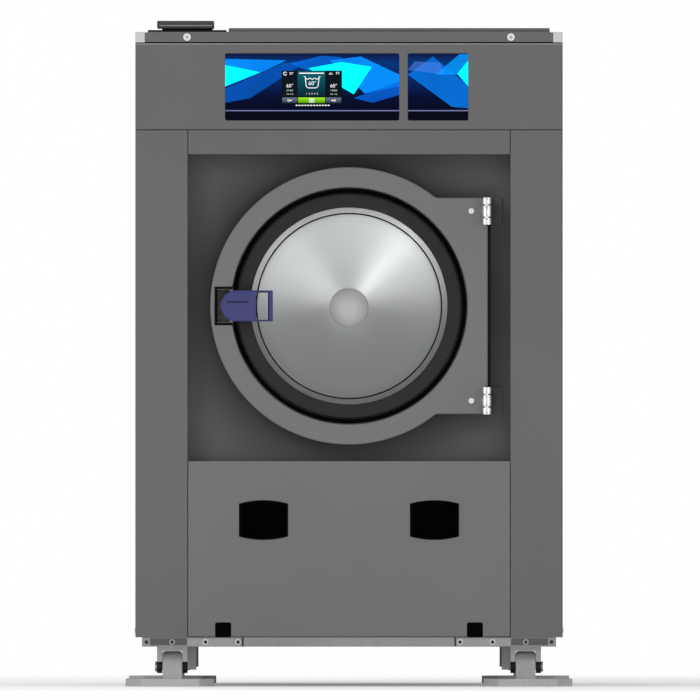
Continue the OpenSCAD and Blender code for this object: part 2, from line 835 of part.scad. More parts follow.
// Soap hopper: a walled box with three dividers and a flange that lies on the cover.
module dispenser_box() {
  outlet_y = (hopper_y0 + hopper_y1) / 2;
  outlet_x = hopper_x0 + outlet_r + 14;
  in_frame() color([0.12, 0.12, 0.12]) difference() {
    union() {
      box(hopper_x0, hopper_x1, hopper_y0, hopper_y1, hopper_bottom, lid_z);
      box(hopper_x0 - flange_over, hopper_x1 + flange_over, hopper_y0 - flange_over,
        hopper_y1 + flange_over, casing_top, casing_top + hopper_flange_t);
      translate([outlet_x, outlet_y, hopper_bottom - 30]) cylinder(r = outlet_r, h = 31);
    }
    for (i = [0 : 2])
      box(hopper_x0 + hopper_wall, hopper_x1 - hopper_wall,
        hopper_y0 + hopper_wall + i * (hopper_d - hopper_wall) / 3,
        hopper_y0 + (i + 1) * (hopper_d - hopper_wall) / 3,
        hopper_bottom + hopper_wall, lid_z + 1);
    translate([outlet_x, outlet_y, hopper_bottom - 31]) cylinder(r = outlet_r - 4, h = 32 + hopper_wall);
  }
}

module dispenser_lid() {
  in_frame() color([0.2, 0.2, 0.2]) {
    difference() {
      translate([0, 0, lid_z]) linear_extrude(lid_t)
        round_rect(lid_x0, lid_y0, lid_x1 - lid_x0, lid_hinge_y - lid_y0, lid_corner);
      box(hopper_x0 + hopper_wall + 2, hopper_x1 - hopper_wall - 2, hopper_y0 + hopper_wall + 2,
        hopper_y1 - hopper_wall - 2, lid_z - 1, lid_z + lid_t - 3);
    }
    box(lid_x0 + lid_corner, lid_x1 - lid_corner, lid_y0, lid_y0 + 3, lid_z - 3, lid_z);
  }
}

// Open tray for the drive electronics, screwed to the right side panel.
module electrical_box() {
  in_frame() color([0.7, 0.7, 0.72]) difference() {
    box(tray_x0, casing_x - sheet_t, tray_y0, tray_y0 + tray_d, tray_z, tray_z + tray_h);
    box(tray_x0 + 2, casing_x - sheet_t - 2, tray_y0 + 2, tray_y0 + tray_d - 2, tray_z + 2,
      tray_z + tray_h + 1);
  }
}

module water_valves() {
  in_frame() color([0.75, 0.76, 0.78]) {
    box(inlet_x - valve_plate, inlet_x + 2 * inlet_pitch + valve_plate, casing_d - sheet_t - 6,
      casing_d - sheet_t, inlet_z - valve_plate, inlet_z + valve_plate);
    for (i = [0 : 2])
      translate([inlet_x + i * inlet_pitch, 0, 0]) {
        bar_y(0, inlet_z, inlet_r - 1, casing_d - sheet_t - 7, casing_d + 3);
        bar_y(0, inlet_z, inlet_r, casing_d + 2, casing_d + inlet_len);
        bar_y(0, inlet_z, valve_r, casing_d - sheet_t - 5 - valve_len, casing_d - sheet_t - 5);
        translate([0, casing_d - valve_r * 2, inlet_z - valve_r - 38])
          cylinder(r = valve_r / 2, h = valve_r + 38);
      }
  }
}

module damper_places() {
  for (x = [-spring_x, spring_x])
    for (y = [damper_y1, damper_y2])
      translate([x, y, 0]) children();
}
module damper_tubes() {
  in_frame() color([0.2, 0.2, 0.22]) damper_places() difference() {
    translate([0, 0, beam_top]) cylinder(r = damper_r, h = damper_h);
    translate([0, 0, beam_top + 8]) cylinder(r = damper_r - 4, h = damper_h - 20);
    translate([0, 0, beam_top + 8]) cylinder(r = rod_r + run_gap, h = damper_h);
  }
}
module damper_rods() {
  in_frame() color([0.85, 0.85, 0.86]) damper_places() {
    rod_z = beam_top + damper_h - 70;
    translate([0, 0, rod_z]) cylinder(r = rod_r, h = seat_z - rod_z);
    translate([0, 0, rod_z]) cylinder(r = damper_r - 4 - run_gap, h = 14);
  }
}

// Points of a ring of the wire, square to its path, at the fraction u of a spring's length.
function spring_point(a) =
  [spring_r * cos(a), spring_r * sin(a), wire_end + wire_r + (spring_len - 2 * wire_end - 2 * wire_r)
    * a / (360 * spring_turns)];
function wire_ring(p, along, out) =
  [for (k = [0 : 5]) p + wire_r * (cos(60 * k) * out + sin(60 * k) * cross(along, out))];
function unit(v) = v / norm(v);
rise = (spring_len - 2 * wire_end - 2 * wire_r) / (2 * PI * spring_turns);
function spring_ring(a) =
  wire_ring(spring_point(a), unit([-spring_r * sin(a), spring_r * cos(a), rise]), [cos(a), sin(a), 0]);
module spring_wire() {
  rings = concat(
    [for (z = [0, wire_end]) wire_ring([spring_r, -wire_r, z], [0, 0, 1], [1, 0, 0])],
    [for (i = [1 : spring_rings]) spring_ring(i * 360 * spring_turns / spring_rings - 0.5)],
    [for (z = [spring_len - wire_end, spring_len])
      wire_ring([spring_r, wire_r + 3, z], [0, 0, 1], [1, 0, 0])]);
  last = len(rings) - 1;
  polyhedron(points = [for (r = rings) each r], faces = concat(
    [[5, 4, 3, 2, 1, 0]],
    [for (i = [0 : last - 1]) for (k = [0 : 5]) each [
      [i * 6 + k, i * 6 + (k + 1) % 6, (i + 1) * 6 + (k + 1) % 6],
      [i * 6 + k, (i + 1) * 6 + (k + 1) % 6, (i + 1) * 6 + k]]],
    [[for (k = [0 : 5]) last * 6 + k]]));
}
module springs() {
  in_frame() color([0.1, 0.1, 0.12])
    for (x = [-spring_x, spring_x])
      for (y = [spring_y1, spring_y2])
        translate([x, y, beam_top]) spring_wire();
}
spring_mids = [for (i = [1 : spring_rings]) spring_point(i * 360 * spring_turns / spring_rings)];
echo(spring_least_gap = min([for (i = [0 : spring_rings - 1]) for (j = [i + 6 : spring_rings - 1])
  if (j < spring_rings) norm(spring_mids[i] - spring_mids[j])]) - 2 * wire_r);

module drain_valve() {
  in_frame() color([0.25, 0.25, 0.27]) difference() {
    union() {
      translate([0, drain_y, base_top]) cylinder(r = drain_r + drain_flange, h = 10);
      translate([0, drain_y, base_top]) cylinder(r = drain_r + drain_wall, h = bellows_z - base_top - 12);
      translate([0, drain_y, base_top]) cylinder(r = drain_r, h = bellows_z - base_top);
      bar_y(0, drain_z, drain_r - 2, drain_y + 20, casing_d + 5);
      bar_y(0, drain_z, drain_r, casing_d + 4, casing_d + drain_len);
      box(drain_r + 8, drain_r + 8 + actuator_w, drain_y - actuator_w / 2, drain_y + actuator_w / 2,
        drain_z - actuator_w / 2 - 5, drain_z + actuator_w / 2 - 5);
    }
    bar_y(0, drain_z, drain_r - 4, drain_y + drain_r + 20, casing_d + drain_len + 1);
    translate([0, drain_y, bellows_z - 60]) cylinder(r = drain_r - 8, h = 61);
  }
}
module drain_bellows() {
  ribs = 9;
  pitch = (bellows_top - bellows_z) / ribs;
  in_frame() color([0.08, 0.08, 0.08]) translate([0, drain_y, bellows_z]) rotate_extrude($fn = 48)
    polygon(concat(
      [[drain_r - 4, 0]], [for (i = [0 : ribs - 1]) each [[drain_r, i * pitch],
        [drain_r + 7, (i + 0.5) * pitch]]], [[drain_r, ribs * pitch], [drain_r - 4, ribs * pitch]]));
}

// Rolled tub with a sump well and its outlet stub below.
module tub_shell() {
  in_frame() color([0.75, 0.76, 0.78]) difference() {
    union() {
      bar_y(0, axis_z, tub_r, front_plate_y + front_plate_t, tub_rear);
      box(-90, 90, drain_y - 160, drain_y + 120, sump_z, axis_z - tub_r + 60);
      translate([0, drain_y, bellows_top]) cylinder(r = drain_r, h = 30);
    }
    bar_y(0, axis_z, tub_r - tub_wall, 0, casing_d);
    box(-86, 86, drain_y - 156, drain_y + 116, sump_z + 4, axis_z - tub_r + 80);
    translate([0, drain_y, bellows_top - 1]) cylinder(r = drain_r - 4, h = 40);
  }
}

module tub_front_plate() {
  in_frame() color([0.25, 0.25, 0.25]) difference() {
    plate_y(front_plate_y, front_plate_y + front_plate_t)
      round_rect(-front_plate_half, axis_z - front_plate_half, 2 * front_plate_half,
        2 * front_plate_half, 12);
    bar_y(0, axis_z, mouth_r, 0, 200);
  }
}

module tub_back_plate() {
  in_frame() color([0.7, 0.7, 0.72]) difference() {
    bar_y(0, axis_z, tub_r + 6, tub_rear, tub_rear + back_plate_t);
    bar_y(0, axis_z, seal_r, 0, casing_d);
    for (x = heater_xs)
      for (s = [-1, 1])
        bar_y(x + s * heater_half, heater_z, heater_r, 0, casing_d);
  }
}

module bearing_housing() {
  in_frame() color([0.35, 0.36, 0.38]) difference() {
    union() {
      bar_y(0, axis_z, bearing_r + housing_wall, housing_y, housing_y + housing_len);
      bar_y(0, axis_z, bearing_r + flange_w, housing_y, housing_y + flange_t);
      for (a = [0 : 45 : 315])
        translate([0, 0, axis_z]) rotate([0, a, 0]) translate([0, housing_y + flange_t - 1, 0])
          rotate([90, 0, 90]) translate([0, 0, -rib_t / 2]) linear_extrude(rib_t)
            polygon([[0, 0], [0, bearing_r + flange_w - 10], [20, bearing_r + flange_w - 10],
              [housing_len - 50, bearing_r + housing_wall - 5], [housing_len - 50, 0]]);
    }
    bar_y(0, axis_z, seal_r, 0, casing_d);
    bar_y(0, axis_z, bearing_r, housing_y + 8, housing_y + 8 + bearing_w);
    bar_y(0, axis_z, bearing_r, housing_y + housing_len - bearing_w - 4, casing_d);
  }
}
module bearing_ring(y) {
  difference() {
    bar_y(0, axis_z, bearing_r, y, y + bearing_w);
    bar_y(0, axis_z, shaft_r + run_gap, y - 1, y + bearing_w + 1);
    difference() {
      bar_y(0, axis_z, bearing_r - 7, y + bearing_w - 3, y + bearing_w + 1);
      bar_y(0, axis_z, shaft_r + 8, y, y + bearing_w + 2);
    }
  }
}
module bearings() {
  in_frame() color([0.85, 0.86, 0.88]) {
    bearing_ring(housing_y + 8);
    bearing_ring(housing_y + housing_len - bearing_w - 4);
  }
}
module shaft_seal() {
  in_frame() color([0.08, 0.08, 0.08]) difference() {
    bar_y(0, axis_z, seal_r, tub_rear, housing_y + 8);
    bar_y(0, axis_z, shaft_r + run_gap, 0, casing_d);
  }
}

// Latch box behind the door, with a mouth for the handle's tongue.
module door_lock() {
  in_frame() color([0.2, 0.2, 0.21]) difference() {
    box(lock_x0, lock_x0 + lock_w, ring_back + 4, front_plate_y, axis_z - lock_h / 2, axis_z + lock_h / 2);
    box(lock_x0 + 15, lock_x0 + lock_w + 1, 0, 200, axis_z - 17, axis_z + 17);
  }
}

// Outline of a belt round both pulleys, grown by g.
module belt_plan(g) {
  hull() {
    circle(r = drum_pulley_r + g);
    translate([motor_x, motor_z - axis_z]) circle(r = motor_pulley_r + g);
  }
}
module drive_belt() {
  in_frame() color([0.06, 0.06, 0.06]) translate([0, 0, axis_z])
    plate_y(pulley_y + 2, pulley_y + pulley_w - 2) difference() {
      belt_plan(fit_gap + belt_t);
      belt_plan(fit_gap);
    }
}

module motor_body() {
  y1 = pulley_y - 40;
  y0 = y1 - motor_len;
  in_frame() color([0.25, 0.3, 0.36]) difference() {
    union() {
      bar_y(motor_x, motor_z, motor_r - 8, y0, y1);
      bar_y(motor_x, motor_z, motor_r, y1 - 26, y1);
      bar_y(motor_x, motor_z, motor_r, y0, y0 + 26);
      for (i = [0 : 9])
        bar_y(motor_x, motor_z, motor_r - 2, y0 + 40 + i * (motor_len - 86) / 9,
          y0 + 46 + i * (motor_len - 86) / 9);
      bar_y(motor_x, motor_z, 40, y1, y1 + 12);
      box(motor_x - 70, motor_x + 70, y0 + 60, y1 - 60, motor_z, seat_z);
    }
    bar_y(motor_x, motor_z, motor_shaft_r + run_gap, y0 + 30, y1 + 20);
  }
}
module groove_profile(r, bore, grooves) {
  step = pulley_w / (grooves + 1);
  polygon(concat([[bore, 0], [r, 0]],
    [for (i = [0 : grooves - 1]) each [[r, step * (i + 0.6)], [r - 6, step * (i + 0.8)],
      [r - 6, step * (i + 1.2)], [r, step * (i + 1.4)]]], [[r, pulley_w], [bore, pulley_w]]));
}
module motor_pulley() {
  in_frame() color([0.3, 0.3, 0.32]) {
    turn_y(motor_x, motor_z) translate([0, pulley_y]) groove_profile(motor_pulley_r, 0, 4);
    bar_y(motor_x, motor_z, motor_shaft_r, pulley_y - 40 - motor_len + 60, pulley_y + pulley_w + 8);
  }
}
module drum_pulley() {
  in_frame() color([0.3, 0.3, 0.32]) difference() {
    turn_y(0, axis_z) translate([0, pulley_y]) {
      groove_profile(drum_pulley_r, drum_pulley_r - 26, 4);
      translate([shaft_r, 0]) square([40, pulley_w]);
      translate([shaft_r + 30, pulley_w / 2 - 9]) square([drum_pulley_r - shaft_r - 46, 18]);
    }
    for (a = [0 : 60 : 300])
      translate([0, 0, axis_z]) rotate([0, a, 0]) bar_y((shaft_r + drum_pulley_r + 12) / 2, 0, 58,
        pulley_y - 1, pulley_y + pulley_w + 1);
  }
}

// Hairpin heaters that enter through the tub's back plate.
module heating_elements() {
  in_frame() color([0.7, 0.7, 0.7])
    for (x = heater_xs) {
      for (s = [-1, 1])
        bar_y(x + s * heater_half, heater_z, heater_r, heater_y0, housing_y + 8);
      translate([x, heater_y0, heater_z]) rotate([0, 0, 180]) rotate_extrude(angle = 180)
        translate([heater_half, 0]) circle(r = heater_r, $fn = 32);
      box(x - heater_flange, x + heater_flange, housing_y, housing_y + 8, heater_z - heater_flange + 5,
        heater_z + heater_flange - 5);
    }
}

// Welded frame under the tub: saddles, spring seats and a hanger for the motor.
module tub_cradle() {
  in_frame() color([0.3, 0.3, 0.31]) {
    for (y = [spring_y1, spring_y2])
      difference() {
        box(-spring_x - 40, spring_x + 40, y - cradle_t / 2, y + cradle_t / 2, seat_z, axis_z - 130);
        bar_y(0, axis_z, tub_r, 0, casing_d);
      }
    both_sides()
      box(spring_x - 60, spring_x + 52, spring_y1 - 50, spring_y2 + 50, seat_z, seat_z + cradle_t);
    box(motor_x - 90, spring_x, spring_y2 - 90, pulley_y - 60, seat_z, seat_z + cradle_t);
  }
}

module drum_shell() {
  rear = drum_back_y + arm_t + 2;
  in_frame() color([0.8, 0.8, 0.82])
    turn_y(0, axis_z) polygon([
      [drum_r, drum_front + 8], [drum_r - 8, drum_front], [drum_mouth_r + 4, drum_front],
      [drum_mouth_r, drum_front + 4], [drum_mouth_r, drum_front + 18],
      [drum_mouth_r + 3, drum_front + 18], [drum_mouth_r + 3, drum_front + drum_wall + 2],
      [drum_mouth_r + 5, drum_front + drum_wall], [drum_r - 9, drum_front + drum_wall],
      [drum_r - drum_wall, drum_front + 9], [drum_r - drum_wall, rear], [drum_r, rear]]);
}
module drum_back() {
  w = drum_wall;
  in_frame() color([0.85, 0.85, 0.86])
    turn_y(0, axis_z) polygon([
      [0, drum_back_y - cone_d], [hub_disc_r, drum_back_y - cone_d],
      [hub_disc_r, drum_back_y - cone_d + 4], [hub_disc_r + 12, drum_back_y - cone_d + 4],
      [drum_r - 90, drum_back_y - w], [drum_r - drum_wall, drum_back_y - w],
      [drum_r - drum_wall, drum_back_y], [drum_r - 90, drum_back_y],
      [hub_disc_r + 12, drum_back_y - cone_d + 4 + w], [0, drum_back_y - cone_d + 4 + w]]);
}
// Rib of trapezoid section with sloping ends, g smaller all round and open to the drum's wall.
module lifter_body(g) {
  seat = sqrt(pow(drum_r - drum_wall, 2) - pow(lifter_base / 2, 2));
  foot = g > 0 ? -seat - 1 : -seat;
  y0 = drum_front + 40 + 2 * g;
  y1 = drum_back_y - 30 - 2 * g;
  crest = lifter_h - seat - g;
  intersection() {
    plate_y(y0, y1) polygon([[-lifter_base / 2 + 2 * g, foot], [lifter_base / 2 - 2 * g, foot],
      [lifter_top / 2 - g, crest], [-lifter_top / 2 + g, crest]]);
    along_x(-lifter_base, lifter_base)
      polygon([[y0, foot], [y1, foot], [y1 - lifter_slope, crest], [y0 + lifter_slope, crest]]);
  }
}
module drum_lifters() {
  in_frame() color([0.78, 0.78, 0.8])
    for (a = [30, 150, 270])
      at_axis() rotate([0, a, 0]) difference() {
        lifter_body(0);
        lifter_body(lifter_wall);
      }
}
// Tapered arm with a rib along its middle and one along each edge.
module spider_arm() {
  reach = drum_r - drum_wall - 2;
  z0 = shaft_r + 45;
  z1 = reach - 3 * arm_rib;
  root = arm_root / 2;
  slope = (root - arm_w / 2) / reach;
  difference() {
    plate_y(drum_back_y, drum_back_y + arm_t)
      polygon([[-root, 0], [root, 0], [arm_w / 2, reach], [-arm_w / 2, reach]]);
    for (side = [0, 1])
      mirror([side, 0, 0]) plate_y(drum_back_y + arm_web, drum_back_y + arm_t + 1)
        polygon([[arm_rib / 2, z0], [root - slope * z0 - arm_rib, z0],
          [root - slope * z1 - arm_rib, z1], [arm_rib / 2, z1]]);
  }
}
module drum_spider() {
  in_frame() color([0.6, 0.6, 0.62]) {
    bar_y(0, axis_z, shaft_r + 35, drum_back_y, drum_back_y + arm_t);
    bar_y(0, axis_z, shaft_r, drum_back_y + arm_t - 1, pulley_y + pulley_w + 10);
    for (a = [0, 120, 240])
      at_axis() rotate([0, a, 0]) spider_arm();
  }
}

// Round door face that runs out to a straight hinge side.
// Corner of a section outside an arc of radius e, with the material at negative x and positive y.
function edge_cut(e) = concat([[-e, -1], [1, -1], [1, e]],
  [for (a = [0 : 18 : 90]) [e * cos(a) - e, e - e * sin(a)]]);
module door_plan(g) {
  circle(r = ring_r - g, $fn = 160);
  translate([0, -hinge_side_h + g]) square([ring_r - g, 2 * hinge_side_h - 2 * g]);
}
module at_axis() {
  translate([0, 0, axis_z]) children();
}
// What is taken off the door's front edges: round the rim, round the glass and along the hinge side.
module door_edges() {
  x0 = sqrt(pow(ring_r, 2) - pow(hinge_side_h, 2));
  intersection() {
    turn_y(0, 0) polygon([for (p = edge_cut(door_edge)) [ring_r + p[0], ring_y + p[1]]]);
    box(-ring_r - 2, x0, ring_y - 2, ring_back, -ring_r - 2, ring_r + 2);
  }
  turn_y(0, 0) polygon([for (p = edge_cut(door_edge)) [ring_in - p[0], ring_y + p[1]]]);
  for (side = [0, 1])
    mirror([0, 0, side]) along_x(x0, ring_r + 1)
      polygon([for (p = edge_cut(door_edge)) [ring_y + p[1], hinge_side_h + p[0]]]);
  translate([0, 0, -hinge_side_h - 1]) linear_extrude(2 * hinge_side_h + 2)
    polygon([for (p = edge_cut(door_edge)) [ring_r + p[0], ring_y + p[1]]]);
}
module door_ring() {
  in_frame() color([0.42, 0.42, 0.42]) difference() {
    union() {
      at_axis() difference() {
        plate_y(ring_y, ring_back) door_plan(0);
        plate_y(ring_y + door_t, ring_back + 1) door_plan(door_t);
      }
      bar_y(0, axis_z, ring_in + door_t, ring_y, ring_back);
    }
    at_axis() door_edges();
    bar_y(0, axis_z, ring_in, 0, ring_back - door_t);
    bar_y(0, axis_z, gasket_out, 0, 200);
    box(notch_x0, -ring_in + 12, 0, ring_back - door_t, axis_z - notch_h / 2, axis_z + notch_h / 2);
    box(lock_x0 + 12, -gasket_out + 1, 0, 200, axis_z - 15, axis_z + 15);
    for (s = [-1, 1])
      box(hinge_x - 12, hinge_x, 0, ring_y + door_t, axis_z + s * hinge_z - knuckle_mid / 2,
        axis_z + s * hinge_z + knuckle_mid / 2);
  }
}
module door_gasket() {
  in_frame() color([0.08, 0.08, 0.08]) turn_y(0, axis_z) polygon([
    [gasket_in, gasket_y + lip_r], [gasket_in + 0.3 * lip_r, gasket_y + 0.3 * lip_r],
    [gasket_in + lip_r, gasket_y], [gasket_out - lip_r, gasket_y],
    [gasket_out - 0.3 * lip_r, gasket_y + 0.3 * lip_r], [gasket_out, gasket_y + lip_r],
    [gasket_out, front_plate_y], [gasket_in, front_plate_y], [gasket_in, glass_y + glass_t],
    [glass_flange_r, glass_y + glass_t], [glass_flange_r, glass_y], [gasket_in, glass_y]]);
}
function bowl_point(r, d, i) =
  [r * pow(cos(90 * i / bowl_steps), 0.62), glass_y + glass_t + d * pow(sin(90 * i / bowl_steps), 0.62)];
module door_glass() {
  in_frame() color([0.7, 0.8, 0.85, 0.4]) turn_y(0, axis_z) polygon(concat(
    [[glass_flange_r, glass_y], [glass_flange_r, glass_y + glass_t]],
    [for (i = [0 : bowl_steps - 1]) bowl_point(bowl_r, bowl_d, i)],
    [[0, glass_y + glass_t + bowl_d], [0, glass_y + bowl_d]],
    [for (i = [bowl_steps - 1 : -1 : 1])
      bowl_point(bowl_r - glass_t, bowl_d - glass_t, i)],
    [[bowl_r - glass_t, glass_y]]));
}

module knuckle(z0, z1, bore) {
  c = knuckle_edge;
  translate([hinge_x, hinge_y, 0]) rotate_extrude() polygon([[bore, z0], [barrel_r - c, z0],
    [barrel_r, z0 + c], [barrel_r, z1 - c], [barrel_r - c, z1], [bore, z1]]);
}
module hinge_brackets() {
  z0 = knuckle_mid / 2 + knuckle_gap;
  arm_x = hinge_x + barrel_r - hinge_arm_t;
  in_frame() color([0.9, 0.9, 0.92])
    for (s = [-1, 1])
      translate([0, 0, axis_z + s * hinge_z]) {
        for (z = [z0, -z0 - knuckle_end]) {
          knuckle(z, z + knuckle_end, hinge_pin_r);
          box(arm_x, arm_x + hinge_arm_t, hinge_y, front_plate_y - hinge_foot_t, z, z + knuckle_end);
        }
        box(arm_x, arm_x + hinge_foot_w, front_plate_y - hinge_foot_t, front_plate_y,
          -z0 - knuckle_end, z0 + knuckle_end);
      }
}
module hinge_pins() {
  half = knuckle_mid / 2 + knuckle_gap + knuckle_end;
  in_frame() color([0.8, 0.8, 0.82])
    for (s = [-1, 1])
      translate([hinge_x, hinge_y, axis_z + s * hinge_z - half]) cylinder(r = hinge_pin_r, h = 2 * half);
}
module hinge_leaves() {
  h = knuckle_mid / 2;
  in_frame() color([0.9, 0.9, 0.92])
    for (s = [-1, 1])
      translate([0, 0, axis_z + s * hinge_z]) {
        knuckle(-h, h, hinge_pin_r + run_gap);
        box(hinge_x - 11, hinge_x - 7, hinge_y, ring_y + door_t + 1, -h + 1, h - 1);
        box(hinge_x - 62, hinge_x - 2, ring_y + door_t, ring_y + door_t + 6, -h - 12, h + 12);
      }
}

// Cup in the ring's notch that holds the handle's pin.
module handle_housing() {
  z = notch_h / 2 - fit_gap;
  in_frame() color([0.2, 0.2, 0.21]) at_axis() difference() {
    box(notch_x0 + fit_gap, -ring_in + 6, ring_y, ring_back - door_t, -z, z);
    box(notch_x0 + 4, -ring_in + 7, ring_y - 1, ring_back - door_t - 9, -handle_h / 2 - 1, handle_h / 2 + 1);
    box(lock_x0 + 12, -ring_in + 7, 0, 200, -15, 15);
    translate([pivot_x, pivot_y, -z - 1]) cylinder(r = handle_pin_r, h = 2 * z + 2);
  }
}
module handle_pin() {
  z = notch_h / 2 - fit_gap;
  in_frame() color([0.8, 0.8, 0.82])
    translate([pivot_x, pivot_y, axis_z - z]) cylinder(r = handle_pin_r, h = 2 * z);
}
// Handle with a half-round end, a window, a bevelled grip bar and the latch tongue behind.
module door_handle() {
  r = handle_h / 2;
  in_frame() color([0.28, 0.29, 0.47]) at_axis() difference() {
    union() {
      plate_y(-handle_out, handle_back) {
        translate([handle_x0 + r, 0]) circle(r = r);
        translate([handle_x0 + r, -r]) square([handle_x1 - handle_x0 - r, handle_h]);
      }
      translate([pivot_x, pivot_y, -r + 4]) cylinder(r = handle_pin_r + 3.5, h = 2 * r - 8);
      box(handle_x0 + 4, handle_x0 + 11, handle_back - 2, front_plate_y - 8, -11, 11);
    }
    plate_y(-handle_out - 1, handle_back + 1)
      translate([window_x0, -handle_h / 2 + 5]) square([handle_x1 - bar_w - window_x0, handle_h - 10]);
    translate([pivot_x, pivot_y, -r - 1]) cylinder(r = handle_pin_r + run_gap, h = 2 * r + 2);
  }
}

base_frame();
foot_plates();
foot_clevises();
foot_pins();
foot_bushes();
load_cells();
base_brackets();
base_bolts();
left_column();
right_column();
left_side_panel();
right_side_panel();
rear_panel();
top_cover();
corner_brackets();
upper_strip();
control_panel();
display_fascia();
touch_screen();
side_fascia();
lower_panel();
left_grip();
right_grip();
panel_catches();
cover_screws();
dispenser_box();
dispenser_lid();
electrical_box();
water_valves();
damper_tubes();
springs();
drain_valve();
drain_bellows();
tub_shell();
tub_front_plate();
tub_back_plate();
bearing_housing();
bearings();
shaft_seal();
door_lock();
hinge_brackets();
hinge_pins();
motor_body();
heating_elements();
tub_cradle();
damper_rods();
drive_belt();
drum_shell();
drum_back();
drum_lifters();
drum_spider();
drum_pulley();
motor_pulley();
door_ring();
door_glass();
door_gasket();
hinge_leaves();
handle_housing();
door_handle();
handle_pin();
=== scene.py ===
# Industrial washing machine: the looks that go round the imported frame. Pieces are worked out in millimetres
# in the casing's own frame: X to the right, Y back from the casing's front, Z up.
import math
from types import SimpleNamespace
import bmesh
import bpy
import numpy as np
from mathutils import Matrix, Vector


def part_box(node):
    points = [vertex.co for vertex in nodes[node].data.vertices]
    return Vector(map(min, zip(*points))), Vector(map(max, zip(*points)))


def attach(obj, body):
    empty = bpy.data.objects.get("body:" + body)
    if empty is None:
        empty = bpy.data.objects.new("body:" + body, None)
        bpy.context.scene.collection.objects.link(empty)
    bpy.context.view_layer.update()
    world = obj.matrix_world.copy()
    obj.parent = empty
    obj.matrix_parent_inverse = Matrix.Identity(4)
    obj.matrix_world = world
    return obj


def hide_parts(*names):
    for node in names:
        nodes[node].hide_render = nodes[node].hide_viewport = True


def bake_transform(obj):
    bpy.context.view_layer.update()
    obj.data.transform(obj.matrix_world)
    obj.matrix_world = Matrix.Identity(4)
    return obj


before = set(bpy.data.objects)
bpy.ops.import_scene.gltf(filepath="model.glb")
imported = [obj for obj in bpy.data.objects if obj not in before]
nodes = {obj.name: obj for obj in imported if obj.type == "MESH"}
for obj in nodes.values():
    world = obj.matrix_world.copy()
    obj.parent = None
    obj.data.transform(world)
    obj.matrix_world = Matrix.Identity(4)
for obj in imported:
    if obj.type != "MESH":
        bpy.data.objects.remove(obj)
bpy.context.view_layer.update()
mm = 0.001
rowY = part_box("lower_panel")[0].y * 1000
axisZ = sum(corner.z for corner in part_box("drum_shell")) * 500
finishes = {}
quarter = np.linspace(0, np.pi / 2, 7)
bothSides = (1, -1)
print("frame loaded, %d nodes" % len(nodes))


# Quads of a grid of nu by nv points, joined to its own start where it wraps.
def gridFaces(nu, nv, wrapU=False, wrapV=False):
    a, b = np.meshgrid(np.arange(nu if wrapU else nu - 1), np.arange(nv if wrapV else nv - 1), indexing="ij")
    c, d = (a + 1) % nu, (b + 1) % nv
    return np.stack([a * nv + b, c * nv + b, c * nv + d, a * nv + d], -1).reshape(-1, 4)


# Makes one object from (points, faces) parts in the casing's frame, with a finish, and sets it on its body.
def putPiece(name, parts, finish, body, hides=(), sharp=32):
    faces, start = [], 0
    for p, f in parts:
        faces += [[i + start for i in face] for face in f] if isinstance(f, list) else (f + start).tolist()
        start += len(p)
    mesh = bpy.data.meshes.new(name)
    points = np.concatenate([p for p, f in parts])
    mesh.from_pydata(((points + (0, rowY, 0)) * mm).tolist(), [], faces)
    work = bmesh.new()
    work.from_mesh(mesh)
    bmesh.ops.remove_doubles(work, verts=work.verts, dist=2e-6)
    bmesh.ops.dissolve_degenerate(work, edges=work.edges, dist=1e-6)
    bmesh.ops.recalc_face_normals(work, faces=work.faces)
    work.to_mesh(mesh)
    work.free()
    mesh.polygons.foreach_set("use_smooth", [True] * len(mesh.polygons))
    mesh.set_sharp_from_angle(angle=math.radians(sharp))
    mesh.materials.append(finishes[finish])
    piece = bpy.data.objects.new(name, mesh)
    bpy.context.scene.collection.objects.link(piece)
    if body:
        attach(piece, body)
    if hides:
        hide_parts(*hides)
    return piece


# Replaces each corner of a closed outline by an arc of its radius that touches both sides.
def roundCorners(outline, radius, steps=7):
    p = np.asarray(outline, float)
    r = np.broadcast_to(np.asarray(radius, float), len(p))
    back, ahead = np.roll(p, 1, 0) - p, np.roll(p, -1, 0) - p
    lengthB, lengthA = np.linalg.norm(back, axis=1), np.linalg.norm(ahead, axis=1)
    back, ahead = back / lengthB[:, None], ahead / lengthA[:, None]
    half = np.arccos(np.clip((back * ahead).sum(1), -0.99999, 0.99999)) / 2
    reach = np.minimum(r / np.tan(half), 0.49 * np.minimum(lengthA, lengthB))
    r = reach * np.tan(half)
    middle = back + ahead
    middle /= np.maximum(np.linalg.norm(middle, axis=1), 1e-9)[:, None]
    centre = p + middle * (r / np.sin(half))[:, None]
    first, last = p + back * reach[:, None] - centre, p + ahead * reach[:, None] - centre
    start = np.arctan2(first[:, 1], first[:, 0])
    turn = (np.arctan2(last[:, 1], last[:, 0]) - start + np.pi) % (2 * np.pi) - np.pi
    angle = start[:, None] + turn[:, None] * np.linspace(0, 1, steps)
    arcs = (centre[:, None] + r[:, None, None] * np.stack([np.cos(angle), np.sin(angle)], -1)).reshape(-1, 2)
    return arcs[np.linalg.norm(arcs - np.roll(arcs, 1, 0), axis=1) > 1e-4]


def boxOutline(x0, x1, z0, z1, radius, steps=7):
    return roundCorners([(x0, z0), (x1, z0), (x1, z1), (x0, z1)], radius, steps)


def arcPoints(radius, start, end, count):
    a = np.radians(np.linspace(start, end, count))
    return radius * np.column_stack([np.cos(a), np.sin(a)])


def circleOf(radius, count=96):
    return arcPoints(radius, 0, 360, count + 1)[:-1]


# Moves a closed anticlockwise outline inwards by a distance, along the bisector of each corner.
def inset(outline, distance):
    p = np.asarray(outline, float)
    along = np.roll(p, -1, 0) - p
    along /= np.linalg.norm(along, axis=1)[:, None]
    normal = np.stack([-along[:, 1], along[:, 0]], -1)
    before = np.roll(normal, 1, 0)
    share = np.maximum(1 + (normal * before).sum(1), 0.3)
    return p + (normal + before) * (np.broadcast_to(distance, len(p)) / share)[:, None]


